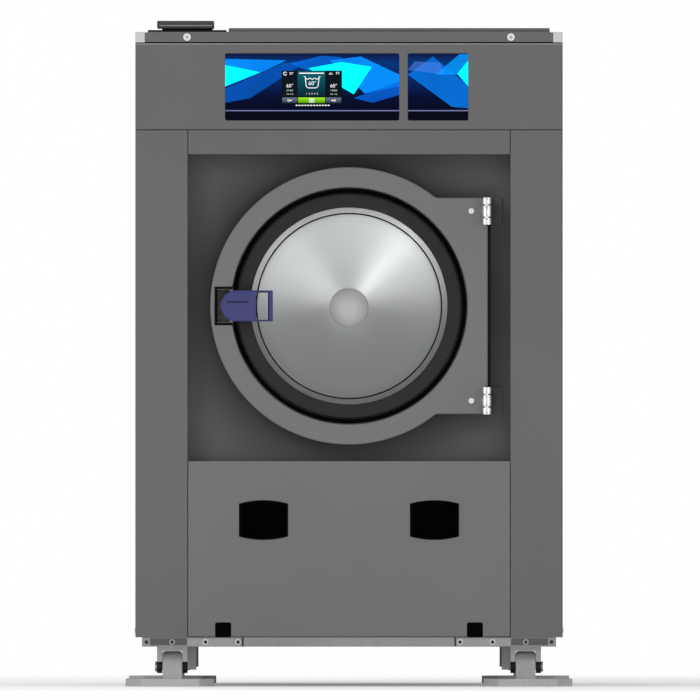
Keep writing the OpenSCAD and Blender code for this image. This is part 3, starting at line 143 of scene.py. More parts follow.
# Rings of a rounded edge: the outline moves inwards by r(1 - cos t) and the depth by r(1 - sin t).
def rounded(outline, radius, y, angles=quarter, onward=1, inward=1):
    return [(inset(outline, inward * radius * (1 - math.cos(t))), y + onward * radius * (1 - math.sin(t)))
            for t in angles]


# Rings of equal point count, each (outline in X and Z, depth), joined in turn; the ends are capped or joined.
def loft(rings, closed=False, centre=(0, 0)):
    points = [np.column_stack([o[:, 0] + centre[0], np.broadcast_to(y, len(o)), o[:, 1] + centre[1]])
              for o, y in rings]
    count, points = len(points[0]), np.concatenate(points)
    faces = gridFaces(len(rings), count, closed, True).tolist()
    if not closed:
        faces += [list(range(count)), list(range(len(points) - count, len(points)))]
    return points, faces


# A plate with rounded front and back edges.
def plate(outline, front, back, edge=1.0, edgeBack=0.3, steps=5):
    t = np.linspace(0, np.pi / 2, steps)
    return loft(rounded(outline, edge, front, t[::-1]) + rounded(outline, edgeBack, back, t, onward=-1))


# A profile of (radius, depth) carried round a Y axis at x, z. It is closed if both ends are off the axis.
def turned(profile, x, z, sides=96, closed=None):
    p = np.asarray(profile, float)
    a = np.linspace(0, 2 * np.pi, sides, endpoint=False)[:, None]
    points = np.stack([x + p[:, 0] * np.cos(a), p[:, 1] + 0 * a, z + p[:, 0] * np.sin(a)], -1)
    closed = bool(p[0, 0] > 0 and p[-1, 0] > 0) if closed is None else closed
    return points.reshape(-1, 3), gridFaces(sides, len(p), True, closed)


# A closed section carried along an open path of points; its axes stay square to the path and to a fixed side.
def swept(path, section, side):
    path, section = np.asarray(path, float), np.asarray(section, float)
    ahead = np.gradient(path, axis=0)
    ahead /= np.linalg.norm(ahead, axis=1)[:, None]
    across = np.cross(ahead, np.asarray(side, float))
    across /= np.linalg.norm(across, axis=1)[:, None]
    up = np.cross(across, ahead)
    points = (path[:, None] + across[:, None] * section[:, :1] + up[:, None] * section[:, 1:]).reshape(-1, 3)
    count = len(section)
    faces = gridFaces(len(path), count, False, True).tolist()
    return points, faces + [list(range(count)), list(range(len(points) - count, len(points)))]


# The same part set at several places.
def repeated(part, places):
    return [(part[0] + np.asarray(place, float), part[1]) for place in places]


# Swaps depth and height, so that a plate drawn in X and Z lies flat.
def upright(part):
    return part[0][:, [0, 2, 1]], part[1]


# A part turned about a Y axis at x, z, by an angle in degrees.
def spun(part, angle, x, z):
    c, s = math.cos(math.radians(angle)), math.sin(math.radians(angle))
    return (part[0] - (x, 0, z)) @ np.array([(c, 0, s), (0, 1, 0), (-s, 0, c)]) + (x, 0, z), part[1]


# Sets inputs of a shader node: a socket is linked, anything else is a fixed value.
def setInputs(tree, node, links):
    for socket, source in links.items():
        if isinstance(source, bpy.types.NodeSocket):
            tree.links.new(source, node.inputs[socket])
        else:
            node.inputs[socket].default_value = source


def addNode(tree, kind, links=(), **values):
    node = tree.nodes.new("ShaderNode" + kind)
    for key, value in values.items():
        setattr(node, key, value)
    setInputs(tree, node, dict(links))
    return node


def objectPlace(tree):
    return addNode(tree, "TexCoord").outputs["Object"]


def noise(tree, place, scale, detail=2.0):
    return addNode(tree, "TexNoise", {"Vector": place, "Scale": scale, "Detail": detail}).outputs[0]


def mapped(tree, value, given=(0.0, 1.0), wanted=(0.0, 1.0), **more):
    ends = {"From Min": given[0], "From Max": given[1], "To Min": wanted[0], "To Max": wanted[1]}
    return addNode(tree, "MapRange", {"Value": value, **ends}, **more).outputs[0]


def maths(tree, operation, a, b, **more):
    return addNode(tree, "Math", {0: a, 1: b}, operation=operation, **more).outputs[0]


def vectorMaths(tree, operation, a, b):
    return addNode(tree, "VectorMath", {0: a, 1: b}, operation=operation)


def mixed(tree, share, under, over, blend="MIX"):
    return addNode(tree, "Mix", {0: share, 6: under, 7: over}, data_type="RGBA", blend_type=blend).outputs[2]


# Distance from the drum's axis, in metres.
def fromAxis(tree, place):
    away = vectorMaths(tree, "SUBTRACT", place, (0, 0, axisZ * mm)).outputs[0]
    flat = vectorMaths(tree, "MULTIPLY", away, (1, 0, 1)).outputs[0]
    return addNode(tree, "VectorMath", {0: flat}, operation="LENGTH").outputs[1]


# sRGB colour, or one grey tone, of 0 to 255 as linear light.
def toLinear(colour):
    colour = (colour,) * 3 if isinstance(colour, int) else colour
    return tuple(((c / 255 + 0.055) / 1.055) ** 2.4 if c > 10.3 else c / 255 / 12.92 for c in colour) + (1.0,)


def newMaterial(name):
    material = bpy.data.materials.new(name)
    material.use_nodes = True
    finishes[name] = material
    return material.node_tree, material.node_tree.nodes["Principled BSDF"]


# A node group with inputs (name, kind, value) and outputs (name, kind).
def newGroup(name, inputs, outputs):
    group = bpy.data.node_groups.new(name, "ShaderNodeTree")
    for label, kind, value in inputs:
        group.interface.new_socket(label, in_out="INPUT",
                                   socket_type="NodeSocket" + kind).default_value = value
    for label, kind in outputs:
        group.interface.new_socket(label, in_out="OUTPUT", socket_type="NodeSocket" + kind)
    return group, group.nodes.new("NodeGroupInput").outputs, group.nodes.new("NodeGroupOutput")


# Grain: noise on the object's own coordinates, stretched along the brushing, and a slow patchy drift.
def makeGrain():
    group, given, out = newGroup("grainOfSurface",
                                 [("Stretch", "Vector", (1, 1, 1)), ("Scale", "Float", 200.0)],
                                 [("Grain", "Float"), ("Patches", "Float")])
    place = objectPlace(group)
    stretched = vectorMaths(group, "MULTIPLY", place, given["Stretch"]).outputs[0]
    grain = noise(group, stretched, given["Scale"], 3.0)
    setInputs(group, out, {"Grain": grain, "Patches": noise(group, place, 3.0, 4.0)})
    return group


# Edge wear: where the rounded normal leaves the true one, broken up by noise.
def makeWear():
    group, given, out = newGroup("wearAtEdges", [("Radius", "Float", 0.001), ("Amount", "Float", 1.0)],
                                 [("Mask", "Float"), ("Soft Normal", "Vector")])
    soft = addNode(group, "Bevel", {"Radius": given["Radius"]}, samples=4).outputs[0]
    true = addNode(group, "NewGeometry").outputs["Normal"]
    edge = mapped(group, vectorMaths(group, "DOT_PRODUCT", soft, true).outputs["Value"], (0.995, 0.8))
    broken = mapped(group, noise(group, objectPlace(group), 60.0, 4.0), (0.35, 0.65))
    mask = maths(group, "MULTIPLY", maths(group, "MULTIPLY", edge, broken), given["Amount"], use_clamp=True)
    setInputs(group, out, {"Mask": mask, "Soft Normal": soft})
    return group


# Dust: lies on faces that look up, thicker where the noise is high.
def makeDust():
    group, given, out = newGroup("dustOnTop", [("Amount", "Float", 0.3)], [("Mask", "Float")])
    split = addNode(group, "SeparateXYZ", {0: addNode(group, "NewGeometry").outputs["Normal"]})
    up = mapped(group, split.outputs["Z"], (0.6, 1.0))
    patch = mapped(group, noise(group, objectPlace(group), 9.0, 6.0), (0.4, 0.7))
    setInputs(group, out, {"Mask": maths(group, "MULTIPLY", maths(group, "MULTIPLY", up, patch),
                                         given["Amount"])})
    return group


grainGroup, wearGroup, dustGroup = makeGrain(), makeWear(), makeDust()
noiseSpan = (0.3, 0.7)      # where nearly all values of a noise lie
dustColour = (150, 147, 140)

# What a user may change in each finish, and its value where a finish doesn't give it: grain size and
# direction, spread of tone, gloss, wear at the edges and its sRGB colour or tone, dust, bump height, metal
# and shine.
plain = dict(scale=300, stretch=(1, 1, 1), spread=0.06, drift=0.04, rough=0.5, roughSpread=0.05, wear=0.3,
             edge=0.0008, worn=170, dust=0.1, bump=0.15, depth=0.0002, metal=0.0, specular=0.5)
paint = dict(scale=900, spread=0.05, drift=0.025, rough=0.55, bump=0.12, depth=0.0001, wear=0.12, edge=0.0012,
             specular=0.35, dust=0.12)
looks = {
    "casing": dict(paint, colour=(104, 104, 105)),
    # The lower panel wears the casing paint made lighter: painted light, where more light falls low on the
    # front.
    "casingPaintLit": dict(paint, colour=(113, 113, 114)),
    "recess": dict(colour=84, scale=700, stretch=(1, 1, 0.06), spread=0.07, drift=0.05, wear=0.1,
                   specular=0.3),
    "ringPaint": dict(paint, colour=(115, 115, 116), spread=0.04, drift=0.03, rough=0.42, bump=0.1, wear=0.15,
                      edge=0.0015, specular=0.4, dust=0.1),
    "baseMetal": dict(colour=150, scale=240, stretch=(0.2, 1, 1), spread=0.1, drift=0.08, rough=0.48,
                      metal=0.35, wear=0.35, edge=0.0015, worn=205),
    "footMetal": dict(colour=172, scale=160, spread=0.09, drift=0.1, metal=0.25, wear=0.4, edge=0.0015,
                      bump=0.3, depth=0.0003, worn=215),
    "darkMetal": dict(colour=(122, 122, 123), scale=220, spread=0.12, drift=0.1, metal=0.2, edge=0.0012,
                      worn=150),
    "zinc": dict(colour=(186, 188, 190), scale=90, spread=0.12, drift=0.12, rough=0.38, metal=0.8, wear=0.2,
                 roughSpread=0.12, worn=215),
    "screwMetal": dict(colour=226, scale=500, spread=0.05, rough=0.34, metal=0.35, wear=0.4, edge=0.0006,
                       worn=240),
    "chrome": dict(colour=(235, 236, 238), scale=400, stretch=(1, 1, 6), spread=0.04, drift=0.03, rough=0.2,
                   metal=1.0, wear=0.15, bump=0.05, worn=240),
    "stainless": dict(colour=(190, 191, 193), scale=500, stretch=(1, 0.03, 1), drift=0.05, rough=0.32,
                      metal=1.0, wear=0.1, bump=0.08, depth=0.0001, worn=220),
    "iron": dict(colour=(88, 90, 93), scale=130, spread=0.16, drift=0.1, rough=0.62, metal=0.1, wear=0.25,
                 bump=0.4, depth=0.0006),
    "alloy": dict(colour=(168, 170, 172), scale=150, spread=0.1, drift=0.08, rough=0.45, metal=0.7, wear=0.2,
                  bump=0.3, depth=0.0004),
    "rubber": dict(colour=(34, 33, 32), scale=420, spread=0.2, drift=0.1, rough=0.62, roughSpread=0.08,
                   wear=0.12, worn=(84, 83, 82), bump=0.25, specular=0.4),
    "blackPlastic": dict(colour=(12, 12, 13), scale=1100, spread=0.25, drift=0.15, wear=0.15,
                         worn=(60, 60, 62), bump=0.3, depth=0.00015, specular=0.2, dust=0.05),
    "gripPlastic": dict(colour=2, scale=1100, spread=0.3, drift=0.2, rough=0.75, wear=0.1, worn=(16, 16, 17),
                        bump=0.2, depth=0.0001, specular=0.04, dust=0.02),
    "housingPlastic": dict(colour=(84, 86, 81), scale=800, spread=0.15, drift=0.1, wear=0.2,
                           worn=(100, 100, 98), bump=0.25, depth=0.00015, specular=0.12, dust=0.03),
    "indigoPlastic": dict(colour=(57, 61, 115), scale=900, spread=0.05, drift=0.05, rough=0.36, wear=0.25,
                          edge=0.001, worn=(98, 94, 156), depth=0.0001, specular=0.45),
    "railPlate": dict(colour=156, stretch=(0.3, 1, 1), drift=0.05, rough=0.45, metal=0.2, wear=0.4, worn=215),
    "boltMetal": dict(colour=(46, 46, 47), scale=500, spread=0.1, drift=0.05, rough=0.45, metal=0.2, wear=0.5,
                      edge=0.0006, worn=150),
    "cornerPaint": dict(colour=(84, 84, 85), scale=500, drift=0.05, edge=0.0006),
    "paleBracket": dict(colour=(206, 206, 204), spread=0.05, wear=0.15, worn=228),
    "printWhite": dict(colour=(236, 238, 240), scale=900, spread=0.03, drift=0.02, wear=0.0, bump=0.0,
                       dust=0.0),
    "lidPlastic": dict(colour=(66, 66, 67), scale=1100, spread=0.1, drift=0.08, rough=0.42, wear=0.25,
                       worn=(120, 120, 122), edge=0.0015, bump=0.2, depth=0.0001)}

# Which CAD nodes wear each finish.
wears = {
    "casing": ["left_column", "right_column", "upper_strip", "control_panel", "top_cover", "left_side_panel",
               "right_side_panel", "rear_panel"],
    "casingPaintLit": ["lower_panel"],
    "recess": ["tub_front_plate"],
    "baseMetal": ["base_frame"],
    "footMetal": ["foot_plates", "foot_clevises"],
    "darkMetal": ["load_cells", "tub_cradle", "bearing_housing"],
    "zinc": ["foot_pins", "electrical_box", "damper_rods", "handle_pin"],
    "screwMetal": ["base_bolts", "cover_screws"],
    "railPlate": ["base_brackets"],
    "chrome": ["hinge_brackets", "hinge_pins", "hinge_leaves"],
    "stainless": ["tub_shell", "tub_back_plate", "drum_shell", "drum_lifters", "drum_back", "door_lock"],
    "iron": ["drum_pulley", "motor_pulley", "motor_body", "springs"],
    "alloy": ["drum_spider", "bearings", "heating_elements", "damper_tubes"],
    "rubber": ["foot_bushes", "drain_bellows", "drive_belt", "shaft_seal", "door_gasket"],
    "blackPlastic": ["dispenser_box", "dispenser_lid", "water_valves", "drain_valve"],
    "gripPlastic": ["left_grip", "right_grip", "panel_catches"],
    "housingPlastic": ["handle_housing"],
    "indigoPlastic": ["door_handle"],
    "paleBracket": ["corner_brackets"],
    "ringPaint": ["door_ring"]}


# A finish: the colour drifts with grain and patches, edges wear, tops carry dust, and the grain makes bumps.
def makeFinish(name, look):
    v = SimpleNamespace(**(plain | look))
    tree, shader = newMaterial(name)
    grain, patches = addNode(tree, "Group", {"Stretch": v.stretch, "Scale": v.scale},
                             node_tree=grainGroup).outputs
    edge, softNormal = addNode(tree, "Group", {"Radius": v.edge, "Amount": v.wear},
                               node_tree=wearGroup).outputs
    dust = addNode(tree, "Group", {"Amount": v.dust}, node_tree=dustGroup).outputs[0]
    spread = lambda value, middle, by: mapped(tree, value, noiseSpan, (middle - by, middle + by))
    level = maths(tree, "MULTIPLY", spread(grain, 1, v.spread), spread(patches, 1, v.drift))
    base = addNode(tree, "VectorMath", {0: toLinear(v.colour)[:3], "Scale": level},
                   operation="SCALE").outputs[0]
    worn = mixed(tree, edge, base, toLinear(v.worn))
    bump = addNode(tree, "Bump", {"Height": grain, "Strength": v.bump, "Distance": v.depth,
                                  "Normal": softNormal})
    setInputs(tree, shader, {
        "Base Color": mixed(tree, dust, worn, toLinear(dustColour)),
        "Roughness": spread(grain, v.rough, v.roughSpread), "Normal": bump.outputs[0], "Metallic": v.metal,
        "Specular IOR Level": v.specular})


def dress(finish, members):
    for member in members:
        nodes[member].data.materials.clear()
        nodes[member].data.materials.append(finishes[finish])


for name, look in looks.items():
    makeFinish(name, look)
for name, members in wears.items():
    dress(name, members)
print("finishes made, CAD nodes dressed")


# Cross product of rows of flat vectors.
cross2 = lambda a, b: a[:, 0] * b[:, 1] - a[:, 1] * b[:, 0]


# Brings outlines to the same angles about a centre that sees all of them: every corner's, with an even fan
# between. Each point lies where its ray meets the outline's edge. The angles are given back too.
def matched(outlines, centre, even=96, least=5e-4):
    away = [np.asarray(outline, float) - centre for outline in outlines]
    turns = [np.arctan2(d[:, 1], d[:, 0]) % (2 * np.pi) for d in away]
    angles = np.sort(np.concatenate(turns + [np.linspace(0, 2 * np.pi, even, endpoint=False)]))
    angles = angles[np.r_[True, np.diff(angles) > least]]
    ray = np.column_stack([np.cos(angles), np.sin(angles)])
    found = [angles]
    for d, a in zip(away, turns):
        d, a = d[np.argsort(a)], np.sort(a)
        i = np.searchsorted(a, angles, side="right") - 1
        p, q = d[i], d[(i + 1) % len(a)]
        found.append(np.asarray(centre) + ray * (cross2(p, q) / cross2(ray, q - p))[:, None])
    return found


# Door ring: millimetres. The edges are the radii of the rounded rims of the pressed sheet; a fade says how
# much less the radius is at the notch, and how many degrees from the notch's middle it starts, and over how
# many more it ends.
doorRing = {"radius": 354, "inner": 302, "front": 8, "back": 40, "plateHalf": 276, "plateCorner": 7,
            "neck": 30, "outerEdge": 5, "outerFade": (2.8, 16, 7), "innerEdge": 5, "innerFade": (4.5, 22, 9),
            "notchLeft": -343, "notchHalf": 49.3, "notchCorner": 3, "gasketHole": 287, "flange": 3}


def makeDoorRing():
    d = SimpleNamespace(**doorRing)
    join = math.degrees(math.asin(d.plateHalf / d.radius))
    arc = arcPoints(d.radius, join, 360 - join, 150)
    outer = roundCorners([*arc, (d.radius, -d.plateHalf), (d.radius, d.plateHalf)],
                         [d.neck, *[0] * (len(arc) - 2), d.neck, d.plateCorner, d.plateCorner])
    mouth = math.degrees(math.asin(d.notchHalf / d.inner))
    arc = arcPoints(d.inner, mouth - 180, 180 - mouth, 200)
    inner = roundCorners([*arc, (d.notchLeft, d.notchHalf), (d.notchLeft, -d.notchHalf)],
                         [0] * len(arc) + [d.notchCorner] * 2)
    angles, outer, inner = matched([outer, inner], (0, 0))
    away = np.abs(np.degrees(angles) - 180)
    faded = lambda full, less, start, over: full - less * np.clip((start - away) / over, 0, 1)
    edge, rim = faded(d.outerEdge, *d.outerFade), faded(d.innerEdge, *d.innerFade)
    hole = d.gasketHole * np.column_stack([np.cos(angles), np.sin(angles)])
    rings = [(outer, d.back)] + rounded(outer, edge, d.front)
    rings += [(inset(outer, edge + 0.6), d.front), (inset(inner, -rim * 1.2), d.front)]
    rings += rounded(inner, rim, d.front, quarter[::-1], inward=-1)
    rings += [(inner, d.back - d.flange), (hole, d.back - d.flange), (hole, d.back)]
    putPiece("doorRing", [loft(rings, True, (0, axisZ))], "ringPaint", "door", ["door_ring"])


# Gasket: a flat band with soft lips, and a slot that holds the glass. A clamp ring holds its outer lip; it is
# near black, as painted shade in the gap between the door ring and the gasket.
gasketProfile = [(251, 38), (251, 27), (251.6, 24.6), (253, 23), (255.5, 22.2), (260, 22), (278, 22),
                 (282.5, 22.4), (285, 23.6), (286.5, 26), (287, 30), (287, 66), (251, 66), (251, 46),
                 (262, 46), (262, 38)]
clampProfile = [(288.6, 37.2), (288.6, 25), (290, 23.6), (297.5, 23.6), (299, 25), (299, 37.2)]

# Glass: a flat flange, then a bowl whose radius is R cos(t)^p and whose depth is D sin(t)^p. Clear colour and
# the flange's darker colour are linear; the flange is darker from a radius in metres on.
doorGlass = {"flange": 262, "front": 38, "thick": 8, "radius": 238, "depth": 100, "power": 0.62, "steps": 40,
             "wall": 3.5, "colour": (0.965, 0.975, 0.97, 1), "tint": (0.66, 0.66, 0.645, 1),
             "tintFrom": (0.2375, 0.2395), "shadow": (0.95, 0.96, 0.955, 1), "bending": 1.25,
             "smears": (0.01, 0.06)}


def makeDoorGlass():
    d = SimpleNamespace(**doorGlass)
    t = np.linspace(0, np.pi / 2, d.steps)
    back = d.front + d.thick
    bowl = lambda radius, depth: np.column_stack([radius * np.cos(t) ** d.power,
                                                  back + depth * np.sin(t) ** d.power])
    outside, inside = bowl(d.radius, d.depth), bowl(d.radius - d.wall, d.depth - d.thick)[::-1]
    outside[-1, 0] = inside[0, 0] = 0
    rim = [(inside[-1, 0], d.front + 1.5), (inside[-1, 0] + 1.2, d.front), (d.flange - 1, d.front),
           (d.flange, d.front + 1), (d.flange, back - 1), (d.flange - 1, back)]
    profile = np.concatenate([inside[:-1], rim, outside])
    putPiece("doorGlass", [turned(profile, 0, axisZ, 160)], "clearGlass", "door", ["door_glass"],
             sharp=50)


# Lets a share of the rays go straight through the material.
def letThrough(tree, share, shader, colour=(1, 1, 1, 1)):
    clear = addNode(tree, "BsdfTransparent", {"Color": colour}).outputs[0]
    mix = addNode(tree, "MixShader", {0: share, 1: shader.outputs[0], 2: clear})
    tree.links.new(mix.outputs[0], tree.nodes["Material Output"].inputs["Surface"])


def makeGlassFinish():
    d = SimpleNamespace(**doorGlass)
    tree, shader = newMaterial("clearGlass")
    place = objectPlace(tree)
    flange = mapped(tree, fromAxis(tree, place), d.tintFrom)
    setInputs(tree, shader, {
        "Base Color": mixed(tree, flange, d.colour, d.tint), "Metallic": 0.0, "IOR": d.bending,
        "Roughness": mapped(tree, noise(tree, place, 14.0, 5.0), (0.45, 0.75), d.smears),
        "Transmission Weight": 1.0})
    path = addNode(tree, "LightPath").outputs
    passes = maths(tree, "ADD", path["Is Shadow Ray"], path["Is Diffuse Ray"], use_clamp=True)
    letThrough(tree, passes, shader, d.shadow)


# Handle: body outline with a half-round end, a moulded groove, and a bevelled frame round the finger window.
doorHandle = {"left": -328, "half": 40, "bodyRight": -236.8, "right": -194.2, "front": -14, "back": 13,
              "bodyEdge": 7.5, "joinEdge": 2, "join": (16, 12), "bodyCorner": 2.5, "frameEdge": 1.4,
              "frameCorner": 1.6, "windowRight": -206.8, "windowTop": 34, "windowBottom": -35.5,
              "windowCorner": 1.2, "groove": (-312, -256, 7.5, 12.5), "grooveCorner": 2.2, "grooveDepth": 1.6,
              "hub": (-300, 15), "hubRadius": 8.5, "hubHalf": 36, "tongue": (-324, -317), "tongueHalf": 11}


def makeDoorHandle():
    d = SimpleNamespace(**doorHandle)
    arc = arcPoints(d.half, 90, 270, 48) + (d.left + d.half, 0)
    body = roundCorners([*arc, (d.bodyRight, -d.half), (d.bodyRight, d.half)],
                        [0] * len(arc) + [d.bodyCorner] * 2)
    x0, x1, z0, z1 = d.groove
    _, body, groove = matched([body, boxOutline(*d.groove, d.grooveCorner)], ((x0 + x1) / 2, (z0 + z1) / 2),
                              64, 6e-3)
    side = np.clip((body[:, 0] - d.bodyRight + d.join[0]) / d.join[1], 0, 1)
    edge = d.bodyEdge * (1 - side) + d.joinEdge * side
    rings = [(inset(body, 3), d.back), (inset(body, 0.8), d.back - 0.6), (body, d.back - 2.5)]
    rings += rounded(body, edge, d.front + 1)
    inner, floor = inset(body, edge), d.front + d.grooveDepth
    rings += [(inner + (groove - inner) * s, d.front + 1 - math.sin(s * 1.5)) for s in (0.2, 0.4, 0.6, 0.8)]
    rings += [(inset(groove, -0.6), d.front), (groove, d.front + 0.5), (inset(groove, 0.2), floor),
              (inset(groove, 0.7), floor + 0.2)]
    shell = loft(rings, centre=(0, axisZ))
    outline = boxOutline(d.bodyRight - 10, d.right, -d.half + 0.3, d.half - 0.3, d.frameCorner)
    window = boxOutline(d.bodyRight - 1, d.windowRight, d.windowBottom, d.windowTop, d.windowCorner)
    _, outline, window = matched([outline, window], ((d.bodyRight + d.windowRight) / 2, 0), 48)
    rings = [(outline, d.back - 2)] + rounded(outline, d.frameEdge, d.front + 1.2, quarter[::2])
    rings += [(inset(window, -2.6), d.front + 1.6), (inset(window, -2.2), d.front + 2.2),
              (window, d.front + 7), (window, d.back - 2)]
    bars = loft(rings, True, (0, axisZ))
    hub = upright(plate(circleOf(d.hubRadius, 32) + d.hub, axisZ - d.hubHalf, axisZ + d.hubHalf, 0.6, 0.6, 3))
    tongue = boxOutline(*d.tongue, axisZ - d.tongueHalf, axisZ + d.tongueHalf, 1.5, 4)
    putPiece("doorHandle", [shell, bars, hub, plate(tongue, 11, 58, 0.5, 2.0, 3)], "indigoPlastic", "handle",
             ["door_handle"])


# Screw head that sits at the origin and looks to the front: a low dome with a six-lobed recess.
def screwHead(radius, height, lobes=6):
    circle = circleOf(1, 48)
    turn = np.linspace(0, 2 * np.pi, 48, endpoint=False)
    star = circle * (0.40 * radius * (1 + 0.16 * np.cos(lobes * turn)))[:, None]
    rings = [(circle * radius, 0), (circle * radius, -0.35 * height)]
    rings += [(circle * radius * (0.86 + 0.14 * math.cos(t)), -height * (0.35 + 0.65 * math.sin(t)))
              for t in quarter[1::2]]
    return loft(rings + [(circle * radius * 0.55, -1.03 * height), (star * 1.06, -height),
                         (star, -0.9 * height), (star, -0.25 * height)])


def washer(radius):
    return turned([(0, 0), (radius, 0), (radius, -0.6), (radius - 0.6, -1.2), (0, -1.2)], 0, 0, 40)


# Fasteners on the front: millimetres. Heads are radius and height; places are X, depth and Z on the right.
fasteners = {"doorHead": (7.5, 3.2), "doorPlace": (312, 8.2, 242), "coverHead": (10, 4),
             "coverPlace": (413, 0.2, 1655.5), "railZ": 113, "railXs": (283, 366), "railDepth": -0.1,
             "railWasher": 7.6, "boltHead": (4.6, 3.2), "footX": 451, "footDepth": 1.8, "footWasher": 7,
             "hexRadius": 5.4, "hexHeight": 4.0, "cornerPlace": (516.5, 2.0),
             "section": (-507, -414, 105, 122.5), "sectionCorner": 1.5, "sectionDepths": (0.8, 2.05)}


def makeFasteners():
    d = SimpleNamespace(**fasteners)
    x, y, z = d.doorPlace
    putPiece("doorScrews", repeated(screwHead(*d.doorHead), [(x, y, axisZ + s * z) for s in bothSides]),
             "screwMetal", "door")
    x, y, z = d.coverPlace
    putPiece("coverScrews", repeated(screwHead(*d.coverHead), [(s * x, y, z) for s in bothSides]),
             "screwMetal", "cabinet", ["cover_screws"])
    rail = lambda y: [(s * x, y, d.railZ) for s in bothSides for x in d.railXs]
    foot = lambda y: [(s * d.footX, y, d.railZ) for s in bothSides]
    hexagon = plate(roundCorners(circleOf(d.hexRadius, 6), 0.5, 4), -d.hexHeight, 0, 0.8, 0.1, 4)
    putPiece("railWashers", repeated(washer(d.railWasher), rail(d.railDepth)) +
             repeated(washer(d.footWasher), foot(d.footDepth)), "screwMetal", "cabinet",
             ["base_bolts"])
    putPiece("railBolts", repeated(screwHead(*d.boltHead), rail(d.railDepth - 1)) +
             repeated(hexagon, foot(d.footDepth - 0.4)), "boltMetal", "cabinet")
    points, faces = plate(boxOutline(*d.section, d.sectionCorner), *d.sectionDepths, 0.3)
    putPiece("cornerSections", [(points * (s, 1, 1), faces) for s in bothSides], "cornerPaint", "cabinet")
    x, y = d.cornerPlace
    putPiece("cornerBolts", repeated(screwHead(*d.boltHead), [(s * x, y, d.railZ) for s in bothSides]),
             "boltMetal", "cabinet")


# Pale beads round the top of each clevis' arch: painted glints on its rounded inner corners, which also cover
# the post's square corners.
arch = {"x": 451, "half": 26, "top": 91, "radius": 10, "line": 1.6, "fronts": (61, 1081), "depth": 3}


def makeArchGlints():
    d = SimpleNamespace(**arch)
    left = arcPoints(d.radius, 180, 90, 8) + (d.radius - d.half, d.top - d.line - d.radius)
    outline = np.concatenate([[(-d.half, d.top)], left, (left * (-1, 1))[::-1], [(d.half, d.top)]])
    places = [(s * d.x, y, 0) for s in bothSides for y in d.fronts]
    putPiece("archGlintBeads", repeated(plate(outline, 0, d.depth, 0.2, 0.1, 3), places), "screwMetal", "cabinet")


# Screws that hold the rear and side panels: places along each panel, in millimetres.
panelScrews = {"head": (6.5, 2.6), "rear": 1200, "side": 545, "sink": 0.3,
               "rearPlaces": [(x, z) for x in (-520, -180, 180, 520) for z in (150, 640, 1130, 1615)],
               "sidePlaces": [(1182, z) for z in (190, 600, 1010, 1420)] +
               [(y, 142) for y in (120, 480, 840)]}


# A head turned to look along (x, y) is its points times a matrix of that direction.
def makePanelScrews():
    d = SimpleNamespace(**panelScrews)
    points, faces = screwHead(*d.head)
    points = points + (0, d.sink, 0)
    looking = lambda x, y: (points @ np.array([[-y, x, 0], [-x, -y, 0], [0, 0, 1]]), faces)
    parts = repeated(looking(0, 1), [(x, d.rear, z) for x, z in d.rearPlaces])
    for s in bothSides:
        parts += repeated(looking(s, 0), [(s * d.side, y, z) for y, z in d.sidePlaces])
    putPiece("panelScrews", parts, "zinc", "cabinet")


makeGlassFinish()
makeDoorRing()
# The clamp ring is near black: painted shade in the gap round the gasket.
for name, profile, finish, hides in (("doorGasket", gasketProfile, "rubber", ["door_gasket"]),
                                     ("gasketClampShade", clampProfile, "gripPlastic", [])):
    putPiece(name, [turned(profile, 0, axisZ, 160)], finish, "door", hides)
makeDoorGlass()
makeDoorHandle()
makeFasteners()
makeArchGlints()
makePanelScrews()
print("door and fasteners made")


# Drum shell: sheet with punched holes in even rows; the front lip and the rear rim are plain. Each pitch of
# the sheet has a square of eight points round an eight-sided hole, on the outside and on the inside.
drumShell = {"radius": 430, "wall": 3, "front": 98, "bend": 9, "mouth": 282, "collar": 18, "holesFrom": 128,
             "holesTo": 820, "rear": 868, "around": 90, "along": 24, "hole": 3.6}


def makeDrumShell():
    d = SimpleNamespace(**drumShell)
    corner = np.array([(0, 0), (0.5, 0), (1, 0), (1, 0.5), (1, 1), (0.5, 1), (0, 1), (0, 0.5)])
    spoke = np.radians([225, 270, 315, 0, 45, 90, 135, 180])
    i, j, k = np.meshgrid(np.arange(d.around), np.arange(d.along), np.arange(8), indexing="ij")
    pitch, turn = (d.holesTo - d.holesFrom) / d.along, 2 * np.pi / d.around
    points = []
    for radius in (d.radius, d.radius - d.wall):
        square = ((i + corner[k, 0]) * turn, d.holesFrom + (j + corner[k, 1]) * pitch)
        hole = ((i + 0.5) * turn + np.cos(spoke[k]) * d.hole / radius,
                d.holesFrom + (j + 0.5) * pitch + np.sin(spoke[k]) * d.hole)
        points += [np.stack([radius * np.cos(a), y, axisZ + radius * np.sin(a)], -1)
                   for a, y in (square, hole)]
    first = np.arange(d.around * d.along)[:, None] * 32
    ring, after = np.arange(8), (np.arange(8) + 1) % 8
    quad = lambda low, high: np.stack([first + low + ring, first + low + after, first + high + after,
                                       first + high + ring], -1).reshape(-1, 4)
    sheet = (np.stack(points, 2).reshape(-1, 3), np.concatenate([quad(0, 8), quad(16, 24), quad(8, 24)]))
    r, w, f, m, c = d.radius, d.wall, d.front, d.mouth, d.front + d.collar
    bend = [(r - d.bend * (1 - math.sin(t)), f + d.bend * (1 - math.cos(t)))
            for t in np.linspace(np.pi / 2, 0, 6)]
    lip = [(r, d.holesFrom), *bend, (m + 5, f), (m + 1, f + 1), (m, f + 4), (m, c), (m + w, c),
           (m + w, f + 5), (m + 6, f + w), (r - 10, f + w), (r - w, f + 10), (r - w, d.holesFrom)]
    rim = [(r, d.holesTo), (r, d.rear), (r - w, d.rear), (r - w, d.holesTo)]
    ends = [turned(profile, 0, axisZ, 2 * d.around, False) for profile in (lip, rim)]
    putPiece("drumShell", [sheet, *ends], "stainless", "drum", ["drum_shell"])


